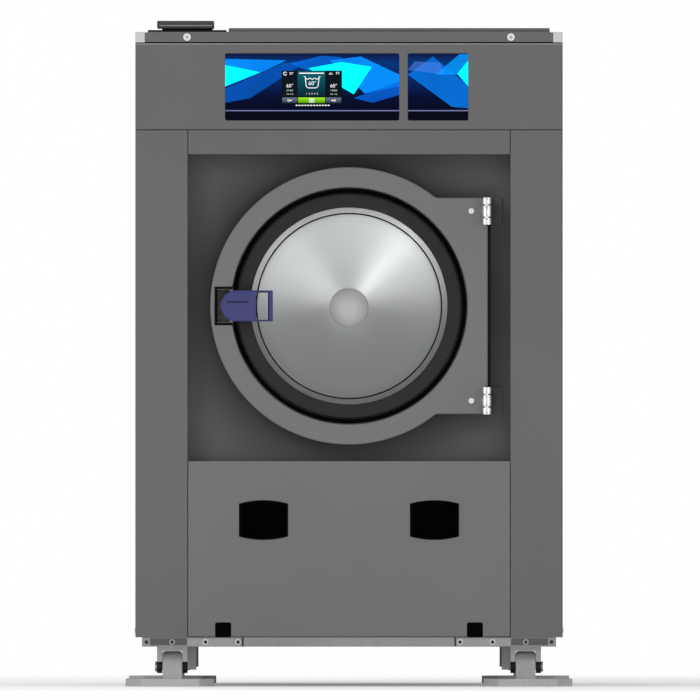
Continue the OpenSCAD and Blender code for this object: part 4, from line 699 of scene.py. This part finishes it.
# Lifters: pressed ribs with a soft crest and sloping ends: distance from the end, and share of the height.
drumLifter = {"seat": 423, "base": 120, "top": 44, "height": 92, "start": 138, "end": 808, "foot": 0.2,
              "crest": 12, "rises": [(0, 0.12), (6, 0.3), (27.5, 0.72), (46.75, 0.97), (66, 1)],
              "angles": (-30, -150, -270)}


def makeDrumLifters():
    d = SimpleNamespace(**drumLifter)
    rings = []
    for y, rise in d.rises + [(d.end - d.start - y, rise) for y, rise in d.rises[::-1]]:
        height, top = d.height * rise, d.base / 2 + (d.top - d.base) / 2 * rise
        corners = [(-d.base / 2, 0), (d.base / 2, 0), (top, height), (-top, height)]
        rings.append((roundCorners(corners, [d.foot, d.foot, d.crest * rise, d.crest * rise], 6),
                      d.start + y))
    rib = loft(rings, centre=(0, axisZ - d.seat))
    putPiece("drumLifters", [spun(rib, angle, 0, axisZ) for angle in d.angles], "stainless", "drum",
             ["drum_lifters"], sharp=40)


# Drum back: a shallow cone with a turned finish, and a flat middle disc. Its looks are pairs for cone and
# disc, its slope bends the light as a steeper cone would, and its grooves are steps of noise per metre.
drumBack = {"rim": 426.8, "front": 835, "cone": 340, "disc": 49.5, "discFront": 800, "step": 5, "wall": 3,
            "slope": 0.25, "grooves": 900.0, "tones": ((0.5, 0.505, 0.51, 1), (0.98, 0.98, 0.98, 1)),
            "grooveTones": (0.94, 1.0), "rough": (0.36, 0.6), "brushed": (0.92, 0.0)}


def makeDrumBack():
    d = SimpleNamespace(**drumBack)
    foot, rear = d.discFront + d.step, d.front + d.wall
    depthAt = lambda r: d.front - (d.front - foot) * (d.cone - r) / (d.cone - d.disc)
    profile = [(0, d.discFront), (d.disc - 1.2, d.discFront), (d.disc - 0.3, d.discFront + 0.4),
               (d.disc, d.discFront + 1.2), (d.disc, foot - 0.1)]
    profile += [(r, depthAt(r)) for r in np.linspace(d.disc + 0.6, d.cone, 30)]
    profile += [(d.cone + 12, d.front + 0.1), (d.rim, d.front + 0.1), (d.rim, rear), (d.cone, rear),
                (d.disc, foot + d.wall), (0, foot + d.wall)]
    putPiece("drumBack", [turned(profile, 0, axisZ, 192)], "turnedSteel", "drum", ["drum_back"],
             sharp=50)


def makeTurnedFinish():
    d = SimpleNamespace(**drumBack)
    tree, shader = newMaterial("turnedSteel")
    radius = fromAxis(tree, objectPlace(tree))
    along = maths(tree, "MULTIPLY", radius, d.grooves)
    fine = addNode(tree, "TexNoise", {"W": along, "Scale": 1.0, "Detail": 2.0},
                   noise_dimensions="1D").outputs[0]
    disc = maths(tree, "LESS_THAN", radius, d.disc * mm)
    fall = maths(tree, "MULTIPLY", maths(tree, "MAXIMUM", radius, d.disc * mm), d.slope)
    setInputs(tree, shader, {
        "Base Color": mixed(tree, 1.0, mixed(tree, disc, *d.tones),
                            mapped(tree, fine, noiseSpan, d.grooveTones), "MULTIPLY"),
        "Metallic": 1.0, "Roughness": mapped(tree, disc, wanted=d.rough),
        "Anisotropic": mapped(tree, disc, wanted=d.brushed), "Anisotropic Rotation": 0.25,
        "Tangent": addNode(tree, "Tangent", direction_type="RADIAL", axis="Y").outputs[0],
        "Normal": addNode(tree, "Bump", {"Strength": 1.0, "Distance": 1.0, "Height": fall}).outputs[0]})


# Springs: round wire, with a flat closed curl at each end. The rise is smoothed by a running mean.
spring = {"radius": 40, "wire": 7, "bottom": 184, "top": 400, "turns": 7.5, "curl": 0.8, "steps": 300,
          "smooth": 12, "places": [(x, y, 0) for x in (-430, 430) for y in (250, 800)]}


def makeSprings():
    d = SimpleNamespace(**spring)
    u = np.linspace(0, d.turns, d.steps)
    rise = np.pad(np.clip((u - d.curl) / (d.turns - 2 * d.curl), 0, 1), d.smooth, mode="edge")
    rise = np.convolve(rise, np.ones(2 * d.smooth + 1) / (2 * d.smooth + 1), "valid")
    z = d.bottom + d.wire + (d.top - d.bottom - 2 * d.wire) * rise
    path = np.column_stack([d.radius * np.cos(2 * np.pi * u), d.radius * np.sin(2 * np.pi * u), z])
    coil = swept(path, circleOf(d.wire, 12), (0, 0, 1))
    piece = putPiece("springs", repeated(coil, d.places), "iron", None, ["springs"])
    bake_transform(piece)


# Drain bellows: rounded folds.
drainBellows = {"bottom": 300, "top": 410, "folds": 9, "radius": 41.5, "fold": 3.5, "inner": 36.5, "y": 530}


def makeDrainBellows():
    d = SimpleNamespace(**drainBellows)
    z = np.linspace(d.bottom, d.top, d.folds * 8 + 1)
    r = d.radius - d.fold * np.cos(2 * np.pi * (z - d.bottom) * d.folds / (d.top - d.bottom))
    profile = np.column_stack([np.r_[r, d.inner, d.inner], np.r_[z, d.top, d.bottom]])
    piece = putPiece("drainBellows", [upright(turned(profile, 0, d.y, 64))], "rubber", None,
                     ["drain_bellows"], sharp=50)
    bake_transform(piece)


# Drive belt: a flat back and fine ribs inside, carried round the two pulleys along their outer tangents. A
# rib is given by shares of the pitch across the belt, with their heights.
driveBelt = {"big": 280, "small": 60, "x": 240, "z": 275, "gap": 0.6, "thick": 8, "corner": 0.5,
             "start": 1067, "end": 1111, "ribs": 9, "rib": [(0.12, 2.6), (0.36, 0), (0.64, 0), (0.88, 2.6)]}


def makeDriveBelt():
    d = SimpleNamespace(**driveBelt)
    offset = np.array([d.x, d.z - axisZ])
    aim = math.degrees(math.atan2(offset[1], offset[0]))
    spread = math.degrees(math.acos((d.big - d.small) / np.linalg.norm(offset)))
    head = arcPoints(d.big + d.gap, aim + spread, aim + 360 - spread, 120)
    tail = arcPoints(d.small + d.gap, aim - spread, aim + spread, 40) + offset
    between = lambda a, b: a + (b - a) * np.array([[0.2], [0.4], [0.6], [0.8]])
    path = np.concatenate([head, between(head[-1], tail[0]), tail, between(tail[-1], head[0])])
    width, side = d.end - d.start, d.thick - d.corner
    ribs = [((i + share) * width / d.ribs, height) for i in range(d.ribs) for share, height in d.rib]
    section = np.array([(d.corner, d.thick), (0, side), *ribs, (width, side), (width - d.corner, d.thick)])
    ahead = np.roll(path, -1, 0) - np.roll(path, 1, 0)
    normal = np.column_stack([ahead[:, 1], -ahead[:, 0]]) / np.linalg.norm(ahead, axis=1)[:, None]
    place = path[:, None] + normal[:, None] * section[:, 1:]
    points = np.stack([place[..., 0], d.start + section[:, 0] + 0 * path[:, :1], axisZ + place[..., 1]], -1)
    putPiece("driveBelt", [(points.reshape(-1, 3), gridFaces(len(path), len(section), True, True))], "rubber",
             "tub_unit", ["drive_belt"], sharp=40)


makeTurnedFinish()
makeDrumShell()
makeDrumLifters()
makeDrumBack()
makeSprings()
makeDrainBellows()
makeDriveBelt()
print("drum and suspension made")


# Mask that is 1 inside a convex outline of (X, Z) corners in millimetres, given anticlockwise.
def insideMask(tree, place, corners):
    total = None
    for (x0, z0), (x1, z1) in zip(corners, corners[1:] + corners[:1]):
        across = (z0 - z1, 0, x1 - x0)
        side = vectorMaths(tree, "DOT_PRODUCT", place, across).outputs["Value"]
        inside = maths(tree, "GREATER_THAN", side, (across[0] * x0 + across[2] * z0) * mm)
        total = inside if total is None else maths(tree, "MULTIPLY", total, inside)
    return total


boxCorners = lambda x0, x1, z0, z1: [(x0, z0), (x1, z0), (x1, z1), (x0, z1)]


# Colour ramp over a span of heights in millimetres, from a list of (position, sRGB colour).
def heightRamp(tree, height, low, high, stops):
    ramp = addNode(tree, "ValToRGB", {0: mapped(tree, height, (low * mm, high * mm))})
    marks = ramp.color_ramp.elements
    while len(marks) < len(stops):
        marks.new(0.5)
    for mark, (position, colour) in zip(marks, stops):
        mark.position, mark.color = position, toLinear(colour)
    return ramp.outputs[0]


# Printed film of the two display panels: slanted ribbons of blue and cyan over a navy ground, and a dark
# strip below a fine line. A ribbon is its colour, its strength and its corners. The film glows a little
# though it is no lamp: painted light that lifts its colours.
film = {
    "ground": [(0.0, (1, 3, 26)), (0.25, (1, 8, 42)), (0.6, (0, 34, 92)), (0.86, (0, 44, 104)),
               (1.0, (6, 18, 58))],
    "groundFrom": 1470, "groundTo": 1612, "line": (104, 116, 160), "lineTop": 1469.3, "strip": (2, 3, 18),
    "stripTop": 1466.7, "lift": 0.35, "rough": 0.3, "shine": 0.05, "bump": 0.05, "bumpDepth": 0.0002,
    "weakest": 0.8, "ribbons": [
        ((0, 78, 172), 0.85, [(-316, 1488), (-252, 1500), (-104, 1596), (-170, 1588), (-316, 1524)]),
        ((0, 130, 236), 0.95, [(-316, 1520), (-214, 1570), (-150, 1596), (-316, 1600)]),
        ((0, 248, 255), 1.0, [(-316, 1530), (-226, 1566), (-316, 1584)]),
        ((0, 96, 204), 0.8, [(-150, 1588), (-60, 1552), (44, 1522), (-20, 1604), (-70, 1608)]),
        ((0, 134, 238), 0.9, [(-48, 1596), (40, 1512), (128, 1530), (128, 1560), (30, 1606)]),
        ((0, 250, 255), 1.0, [(-104, 1576), (12, 1510), (58, 1580), (-20, 1592)]),
        ((0, 92, 206), 0.72, [(60, 1488), (128, 1508), (128, 1542), (12, 1500)]),
        ((0, 110, 214), 0.78, [(150, 1560), (262, 1478), (304, 1474), (304, 1532), (214, 1606)]),
        ((70, 120, 216), 0.45, [(150, 1572), (244, 1560), (232, 1590), (168, 1594)]),
        ((0, 140, 236), 0.8, [(220, 1560), (304, 1560), (304, 1612), (282, 1612)]),
        ((0, 250, 255), 1.0, [(276, 1562), (304, 1530), (304, 1596)])]}


def makeFilm():
    d = SimpleNamespace(**film)
    tree, shader = newMaterial("printedFilm")
    place = objectPlace(tree)
    height = addNode(tree, "SeparateXYZ", {0: place}).outputs[2]
    colour = heightRamp(tree, height, d.groundFrom, d.groundTo, d.ground)
    glow = noise(tree, place, 9.0, 1.0)
    for tone, strength, corners in d.ribbons:
        sheen = mapped(tree, glow, noiseSpan, (strength * d.weakest, strength))
        colour = mixed(tree, maths(tree, "MULTIPLY", insideMask(tree, place, corners), sheen), colour,
                       toLinear(tone))
    for top, tone in ((d.lineTop, d.line), (d.stripTop, d.strip)):
        colour = mixed(tree, maths(tree, "LESS_THAN", height, top * mm), colour, toLinear(tone))
    grain = noise(tree, place, 600.0)
    bump = addNode(tree, "Bump", {"Strength": d.bump, "Distance": d.bumpDepth, "Height": grain}).outputs[0]
    # Painted light: the film glows in its own colour.
    setInputs(tree, shader, {"Base Color": colour, "Emission Color": colour, "Emission Strength": d.lift,
                             "Roughness": d.rough, "Specular IOR Level": d.shine, "Normal": bump})


# Touch screen: millimetres on the panel; tones are sRGB. It glows, and so does what is printed on it.
screen = {"left": -172, "right": -18, "bottom": 1486, "top": 1570, "middle": (-131, -61), "keysTop": 1502.5,
          "greenKey": (-130, -61), "rim": 2,
          "teal": [(0.0, (2, 26, 34)), (0.5, (4, 58, 68)), (1.0, (10, 84, 92))], "side": (5, 14, 20),
          "green": [(0.0, (66, 122, 0)), (0.5, (104, 170, 8)), (1.0, (150, 210, 46))],
          "grey": [(0.0, (30, 40, 54)), (1.0, (90, 102, 120))], "glow": 0.5, "printGlow": 0.35, "shine": 0.05,
          "smears": (0.10, 0.22), "margin": 1.5}


def makeScreenFinish():
    d = SimpleNamespace(**screen)
    tree, shader = newMaterial("litScreen")
    place = objectPlace(tree)
    height = addNode(tree, "SeparateXYZ", {0: place}).outputs[2]
    row = (d.bottom + d.margin, d.keysTop - 1)
    grey = heightRamp(tree, height, d.bottom + 1, d.keysTop, d.grey)
    areas = [((*d.middle, d.keysTop, d.top - d.margin), heightRamp(tree, height, d.keysTop, d.top, d.teal)),
             ((d.left + d.rim, d.greenKey[0] - d.rim, *row), grey),
             ((d.greenKey[1] + d.rim, d.right - d.rim, *row), grey),
             ((*d.greenKey, *row), heightRamp(tree, height, d.bottom + 1, d.keysTop, d.green))]
    colour = toLinear(d.side)
    for box, tone in areas:
        colour = mixed(tree, insideMask(tree, place, boxCorners(*box)), colour, tone)
    rough = mapped(tree, noise(tree, place, 25.0, 4.0), noiseSpan, d.smears)
    setInputs(tree, shader, {"Base Color": colour, "Emission Color": colour, "Emission Strength": d.glow,
                             "Roughness": rough, "Specular IOR Level": d.shine})
    setInputs(tree, finishes["printWhite"].node_tree.nodes["Principled BSDF"],
              {"Emission Color": (1, 1, 1, 1), "Emission Strength": d.printGlow})


# Print on the screen: lines are (width, points), figures are (words, size, middle, foot).
wave = [(x, 1549.5 + 1.6 * math.cos((x + 111.5) * 2 * math.pi / 11.7)) for x in np.arange(36) - 111.5]
ring = arcPoints(4, math.degrees(0.6), 360 - math.degrees(0.2), 20) + (-163, 1562.5)
inkLines = [
    (2.0, [(-115.5, 1555), (-112, 1555), (-109, 1530), (-104, 1526), (-84, 1526), (-79, 1530), (-76, 1555),
           (-72.5, 1555)]),
    (1.8, wave), (1.7, ring), (2.6, [(-127, 1563.5), (-64, 1563.5)]), (1.4, [(-152, 1564.5), (-142, 1564.5)]),
    (1.2, [(-152, 1561), (-145, 1561)]), (1.3, [(-51, 1561), (-46, 1565), (-41, 1561), (-51, 1561)]),
    (1.6, [(-32, 1560.5), (-32, 1566), (-26, 1566), (-26, 1560.5)]),
    (1.6, [(-157, 1494), (-153, 1497.5), (-153, 1490.5), (-157, 1494)]), (2.4, [(-151, 1494), (-146, 1494)]),
    (1.6, [(-34, 1494), (-38, 1497.5), (-38, 1490.5), (-34, 1494)]), (2.4, [(-45, 1494), (-40, 1494)])]
inkLines += [(1.2, [(-101, z), (-89, z)]) for z in (1489.5, 1492.5, 1495.5, 1498.5)]
inkLines += [(1.0, [(x, 1489), (x, 1499)]) for x in (-101, -95, -89)]
inkLines += [(2.6, [(x, 1481.5), (x + 5, 1481.5)]) for x in np.arange(12) * 7.4 - 136]
inkFigures = [("60\u00b0", 14.5, -93.5, 1533), ("1  2  3  4  5", 6.5, -94.5, 1509)]
for x, speed, left in ((-151, "2 5 0 0", "0 0 : 3 2"), (-39, "1 0 0 0", "0 0 : 4 5")):
    inkFigures += [("60\u00b0", 13, x, 1527), (speed, 6, x, 1517.5), (left, 5, x, 1508.5)]
ink = {"depth": -1.12, "figureDepth": -1.02, "half": 0.1}


# A flat raised strip along a path of (X, Z) points.
def inkLine(width, path):
    w, h = width / 2, ink["half"]
    path = [(x, ink["depth"], z) for x, z in path]
    return swept(path, [(-w, -h), (w, -h), (w, h), (-w, h)], (0, 1, 0))


# Figures as a thin mesh, centred on x and with their foot at z.
def inkText(words, size, x, z):
    curve = bpy.data.curves.new("figures", "FONT")
    curve.body, curve.size, curve.align_x = words, size, "CENTER"
    curve.extrude, curve.resolution_u = ink["half"], 4
    holder = bpy.data.objects.new("figures", curve)
    mesh = holder.to_mesh()
    points = np.array([(x + v.co.x, ink["figureDepth"] - v.co.z - ink["half"], z + v.co.y)
                       for v in mesh.vertices])
    faces = [list(p.vertices) for p in mesh.polygons]
    holder.to_mesh_clear()
    bpy.data.objects.remove(holder)
    bpy.data.curves.remove(curve)
    return points, faces


# Hinges: rolled knuckles with a seam down the front, on the pins of the CAD part.
hinge = {"x": 351, "y": -8, "radius": 13, "spread": 242, "middle": 14.5, "gap": 2.5, "end": 18, "seam": 1.1,
         "seamDepth": 1.2, "edge": 0.9, "leaf": (-62, -2), "leafHalf": 26, "leafDepths": (10.2, 16),
         "tab": (-11, -7), "tabBack": 11, "foot": (7, 40), "footDepths": (60, 66), "arm": (7, 13), "pin": 5.2,
         "pinEdge": 1.2}


def makeHinges():
    d = SimpleNamespace(**hinge)
    slit = math.degrees(d.seam / d.radius)
    notch = [(-d.seam, d.seamDepth - d.radius), (d.seam, d.seamDepth - d.radius)]
    outline = np.concatenate([arcPoints(d.radius, slit - 90, 270 - slit, 72), notch]) + (d.x, d.y)
    knuckle = lambda low, high: upright(plate(outline, low, high, d.edge, d.edge, 4))
    far = d.middle + d.gap
    half = far + d.end
    box = lambda span, low, high, corner: boxOutline(d.x + span[0], d.x + span[1], low, high, corner)
    foot = plate(box(d.foot, -half, half, 2), *d.footDepths, 1.0)
    arm = plate(box(d.arm, d.y, d.footDepths[0] + 2, 1), -d.end / 2, d.end / 2, 0.6, 0.6, 3)
    cap = [(0, -half - 1), (d.pin - d.pinEdge, -half - 1), (d.pin, -half), (d.pin, half),
           (d.pin - d.pinEdge, half + 1), (0, half + 1)]
    leaves = [knuckle(-d.middle, d.middle),
              plate(box(d.leaf, -d.leafHalf, d.leafHalf, 3), *d.leafDepths, 0.5),
              plate(box(d.tab, 1 - d.middle, d.middle - 1, 0.5), d.y, d.tabBack, 0.3)]
    brackets = [knuckle(far, half), knuckle(-half, -far)]
    feet = repeated(upright(arm), [(0, 0, s * (far + d.end / 2)) for s in bothSides]) + [foot]
    pins = [upright(turned(cap, d.x, d.y, 32))]
    middles = [(0, 0, axisZ + s * d.spread) for s in bothSides]
    for name, parts, finish, body, slotName, hides in (
            ("hingeLeaves", leaves, "chrome", "door", "polished", ["hinge_leaves"]),
            ("hingeBrackets", brackets, "chrome", "tub_unit", "polished", ["hinge_brackets"]),
            ("hingeFeet", feet, "recess", "tub_unit", "dark_paint", []),
            ("hingePins", pins, "chrome", "tub_unit", "polished", ["hinge_pins"])):
        putPiece(name, [placed for part in parts for placed in repeated(part, middles)], finish, body,
                 hides)


# Hopper lid: a shallow pressed cap with a rolled front lip.
hopperLid = {"x0": -490, "x1": -344.7, "y0": 47, "y1": 283, "bottom": 1681, "top": 1698, "corner": 7,
             "edge": 2.5, "wall": 11, "roof": 3, "dent": 0.8, "lip": 1.6}


def makeHopperLid():
    d = SimpleNamespace(**hopperLid)
    within = lambda by: boxOutline(d.x0 + by, d.x1 - by, d.y0 + by, d.y1 - by, max(d.corner - by, 1.5))
    rings = [(within(24), d.top - d.roof), (within(d.wall + 0.5), d.top - d.roof),
             (within(d.wall), d.bottom + 0.5), (within(1), d.bottom), (within(0), d.bottom + 1)]
    rings += rounded(within(0), d.edge, d.top, np.linspace(0, np.pi / 2, 6), onward=-1)
    rings += [(within(20), d.top), (within(22), d.top - d.dent), (within(24), d.top - d.dent)]
    ends = [(x, d.y0 + d.lip, d.bottom - 1.2) for x in (d.x0 + 1, d.x1 - 1)]
    putPiece("hopperLid", [upright(loft(rings)), swept(ends, circleOf(d.lip, 12), (0, 0, 1))], "lidPlastic",
             "hopper_lid", ["dispenser_lid"])


# Raised pressing of the top cover, behind its front lip and beside the hopper.
coverPanel = {"x0": -307, "x1": 512, "y0": 16, "y1": 1180, "low": 1668.4, "top": 1679, "corner": 12,
              "edge": 2.5}


def makeCoverPanel():
    d = SimpleNamespace(**coverPanel)
    outline = boxOutline(d.x0, d.x1, d.y0, d.y1, d.corner)
    putPiece("coverPanel", [upright(plate(outline, d.low, d.top, 0.2, d.edge))], "casing", "cabinet")


def baseColour(finish):
    tree = finishes[finish].node_tree
    target = tree.nodes["Principled BSDF"].inputs["Base Color"]
    return tree, target, target.links[0].from_socket


# Paints shade or a highlight into a box (X from, to, Z from, to) of a finish's front view, or into all that
# is outside it.
def paintLightInBox(finish, box, colour, outside=False):
    tree, target, under = baseColour(finish)
    pair = (under, toLinear(colour))
    mask = insideMask(tree, objectPlace(tree), boxCorners(*box))
    tree.links.new(mixed(tree, mask, *(pair[::-1] if outside else pair)), target)


# Painted shade and highlights, each a finish, a box, an sRGB colour or tone, and whether the outside is
# painted.
# Painted shadow: everything outside the pocket of the handle housing is black, where the notch in the door
# ring shades it.
paintedShadeAndHighlights = {"housing": ("housingPlastic", (-336, -290, 927, 1013), 5, True),
         # Painted shade in the handle's groove, on the inner bevel of its frame and along the frame's top
         # bar.
         "groove": ("indigoPlastic", (-311, -257, 978, 982), (22, 24, 74)),
         "frameInnerShade": ("indigoPlastic", (-207.5, -202.5, 934, 1004.5), (30, 28, 70)),
         "frameTopShade": ("indigoPlastic", (-237, -202.5, 1003.4, 1005.4), (36, 32, 84)),
         # Painted highlight: a pale line along the hopper lid's rounded lower edge.
         "lidHighlight": ("lidPlastic", (-484, -350, 1684.6, 1687), 158),
         # Painted shadow in the gap under the top cover, and a painted highlight on the control panel's top
         # edge below it.
         "coverGapShadow": ("casing", (-546, 546, 1639.8, 1643.4), 14),
         "coverEdgeHighlight": ("casing", (-544, 544, 1636.4, 1639.8), (136, 136, 137)),
         "hingeSideShadow": ("recess", (353, 361, 694, 1246), 10),
         # Painted shadow where the base rail meets its end plates, and along the plates' tops under the lower
         # panel.
         "railShadowLeft": ("baseMetal", (-273, -268.5, 101, 125), 46),
         "railShadowRight": ("baseMetal", (268.5, 273, 101, 125), 46),
         "plateTopShadowLeft": ("railPlate", (-412, -270, 122.6, 127), 16),
         "plateTopShadowRight": ("railPlate", (270, 412, 122.6, 127), 16)}

# Painted shade of the crossed slots of the cover screws, which are not cut in the heads: half width and half
# height of each bar.
coverSlotShades = [(4.2, 1.0), (1.0, 4.2)]

# Painted shade: the tub front is darker near the door, where the door ring shades it: radii in metres, and
# the light left at each.
paintedDoorShade = {"radii": (0.35, 0.48), "tones": (0.43, 1.08)}


# Paints the shades and highlights of the table above, the shade in the cover screws' slots and the shade
# round the door.
def paintShadeAndHighlights():
    for tint in paintedShadeAndHighlights.values():
        paintLightInBox(*tint)
    x, _, z = fasteners["coverPlace"]
    # Painted shade in the cover screws' slots.
    for middle in (x, -x):
        for w, h in coverSlotShades:
            paintLightInBox("screwMetal", (middle - w, middle + w, z - h, z + h), (150, 150, 152))
    # Painted shade: the tub front darkens towards the door.
    tree, target, under = baseColour("recess")
    tone = mapped(tree, fromAxis(tree, objectPlace(tree)), paintedDoorShade["radii"], paintedDoorShade["tones"])
    tree.links.new(mixed(tree, 1.0, under, tone, "MULTIPLY"), target)


paintShadeAndHighlights()
makeFilm()
makeScreenFinish()
dress("printedFilm", ["display_fascia", "side_fascia"])
dress("litScreen", ["touch_screen"])
putPiece("screenMarks", [inkText(*figures) for figures in inkFigures] + [inkLine(*line) for line in inkLines],
         "printWhite", "cabinet", sharp=60)
makeHinges()
makeHopperLid()
makeCoverPanel()
print("panel, hinges and hopper lid made")


# The plain floor, the soft light and the camera. The lens is long, so that the machine is seen almost
# without perspective; the field is how many metres the picture spans at the casing's front, the centre what
# it looks at there, and the eye where the camera stands, across and up. The floor lies a little below the
# feet, glows a little where it is seen, and fades out between two distances in metres.
studio = {"lens": 1400.0, "sensor": 36.0, "field": 1.785, "centre": (0.0025, 0.8576), "eye": (0.0, 0.55),
          "world": 0.62, "floorTone": 0.86, "floorGlow": 0.22, "floorSize": 4.5, "floorDrop": 0.0005,
          "fade": (1.3, 4.3)}
lookAt = SimpleNamespace(**studio)


# 1 for rays of some kinds, 0 for all others.
def raysOf(tree, *kinds):
    path = addNode(tree, "LightPath").outputs
    seen = path["Is %s Ray" % kinds[0]]
    for kind in kinds[1:]:
        seen = maths(tree, "ADD", seen, path["Is %s Ray" % kind], use_clamp=True)
    return seen


def makeFloor():
    d = lookAt
    mesh = bpy.data.meshes.new("floor")
    rim = circleOf(d.floorSize)
    rim = np.column_stack([rim, np.full(len(rim), -d.floorDrop)])
    mesh.from_pydata(rim.tolist(), [], [list(range(len(rim)))])
    floor = bpy.data.objects.new("floor", mesh)
    bpy.context.scene.collection.objects.link(floor)
    tree, shader = newMaterial("floorPaper")
    glow = maths(tree, "MULTIPLY", raysOf(tree, "Camera", "Glossy", "Transmission"), d.floorGlow)
    setInputs(tree, shader, {"Base Color": (d.floorTone, d.floorTone, d.floorTone, 1), "Roughness": 0.9,
                             "Specular IOR Level": 0.0, "Emission Color": (1, 1, 1, 1),
                             "Emission Strength": glow})
    away = addNode(tree, "VectorMath", {0: objectPlace(tree)}, operation="LENGTH").outputs[1]
    letThrough(tree, mapped(tree, away, d.fade, interpolation_type="SMOOTHSTEP"), shader)
    mesh.materials.append(finishes["floorPaper"])


def makeWorld():
    world = bpy.data.worlds.new("studio")
    bpy.context.scene.world = world
    world.use_nodes = True
    tree = world.node_tree
    strength = mapped(tree, raysOf(tree, "Camera", "Transmission"), wanted=(lookAt.world, 1.0))
    setInputs(tree, tree.nodes["Background"], {"Color": (1, 1, 1, 1), "Strength": strength})


# An area lamp that looks at a point; its power is given as the light it lays on a plain facing it.
def addLamp(name, place, target, size, level):
    data = bpy.data.lights.new(name, "AREA")
    data.shape = "DISK"
    data.size = size
    away = Vector(target) - Vector(place)
    data.energy = level * math.pi * away.length ** 2
    lamp = bpy.data.objects.new(name, data)
    lamp.location = place
    lamp.rotation_euler = away.to_track_quat("-Z", "Y").to_euler()
    bpy.context.scene.collection.objects.link(lamp)
    return lamp


# Soft lamps for the whole machine: place and aim in metres, size and level. Their mirror images aren't seen.
generalLamps = {"keyLamp": ((-4.2, -5.5, 4.6), (0, 0, 0.9), 2.6, 0.66),
                "fillLamp": ((4.8, -4.5, 2.2), (0, 0, 0.8), 3.6, 0.26),
                "lowLamp": ((0.0, -3.4, 0.12), (0, -0.6, 0.25), 1.6, 0.52),
                "rearLamp": ((-2.5, 6.0, 4.5), (0, 0, 0.9), 3.5, 0.4)}

# Lamps that light some pieces alone: pieces, what shades them, distance in metres, aim in millimetres, and
# for each lamp its angle round the aim and off the front in degrees, size and level.
linkedLamps = {
    "drum": dict(lit=["drumBack"], shaded=["doorGasket", "doorRing", "drumShell"], reach=3.0,
                 aim=(0, rowY + 820, axisZ),
                 lamps=[(231, 17, 0.4, 0.305), (312, 17, 0.4, 0.157), (270, 19, 1.0, 0.28),
                        (202, 17, 0.6, 0.16), (338, 17, 0.6, 0.18)]),
    "bright": dict(lit=["hingeLeaves", "hingeBrackets", "hingePins", "doorScrews", "coverScrews"],
                   shaded=["doorRing", "hingeLeaves", "hingeBrackets"], reach=4.0, aim=(200, rowY, axisZ),
                   lamps=[(180, 42, 2.0, 0.5), (0, 42, 2.0, 0.4)]),
    "feet": dict(lit=["foot_plates", "foot_clevises", "load_cells", "archGlintBeads"], shaded=["foot_plates"],
                 reach=4.0, aim=(0, rowY + 90, 60), lamps=[(170, 25, 1.5, 0.3)])}


def addLinkedLamps(name, group):
    linked = []
    for label, members in (("Lit", group.lit), ("Shading", group.shaded)):
        linked.append(bpy.data.collections.new(name + label))
        for member in members:
            linked[-1].objects.link(nodes[member] if member in nodes else bpy.data.objects[member])
    aim = Vector(group.aim) * mm
    for turn, tilt, size, level in group.lamps:
        turn, tilt = math.radians(turn), math.radians(tilt)
        away = Vector((math.sin(tilt) * math.cos(turn), -math.cos(tilt), math.sin(tilt) * math.sin(turn)))
        lamp = addLamp(name + "Lamp", aim + away * group.reach, aim, size, level)
        lamp.light_linking.receiver_collection, lamp.light_linking.blocker_collection = linked


makeFloor()
makeWorld()
for name, values in generalLamps.items():
    lamp = addLamp(name, *values)
    lamp.visible_glossy = lamp.visible_transmission = False
for name, group in linkedLamps.items():
    addLinkedLamps(name, SimpleNamespace(**group))

camera = bpy.data.objects.new("camera", bpy.data.cameras.new("camera"))
bpy.context.scene.collection.objects.link(camera)
camera.data.lens, camera.data.sensor_width = lookAt.lens, lookAt.sensor
distance = lookAt.field * lookAt.lens / lookAt.sensor
camera.data.clip_start, camera.data.clip_end = 1.0, 2 * distance
target = Vector((lookAt.centre[0], rowY * mm, lookAt.centre[1]))
camera.location = (lookAt.eye[0], target.y - distance, lookAt.eye[1])
camera.rotation_euler = (target - camera.location).to_track_quat("-Z", "Y").to_euler()
bpy.context.scene.camera = camera
bpy.context.scene.view_settings.view_transform = "Standard"
print("stage, lamps and camera made")
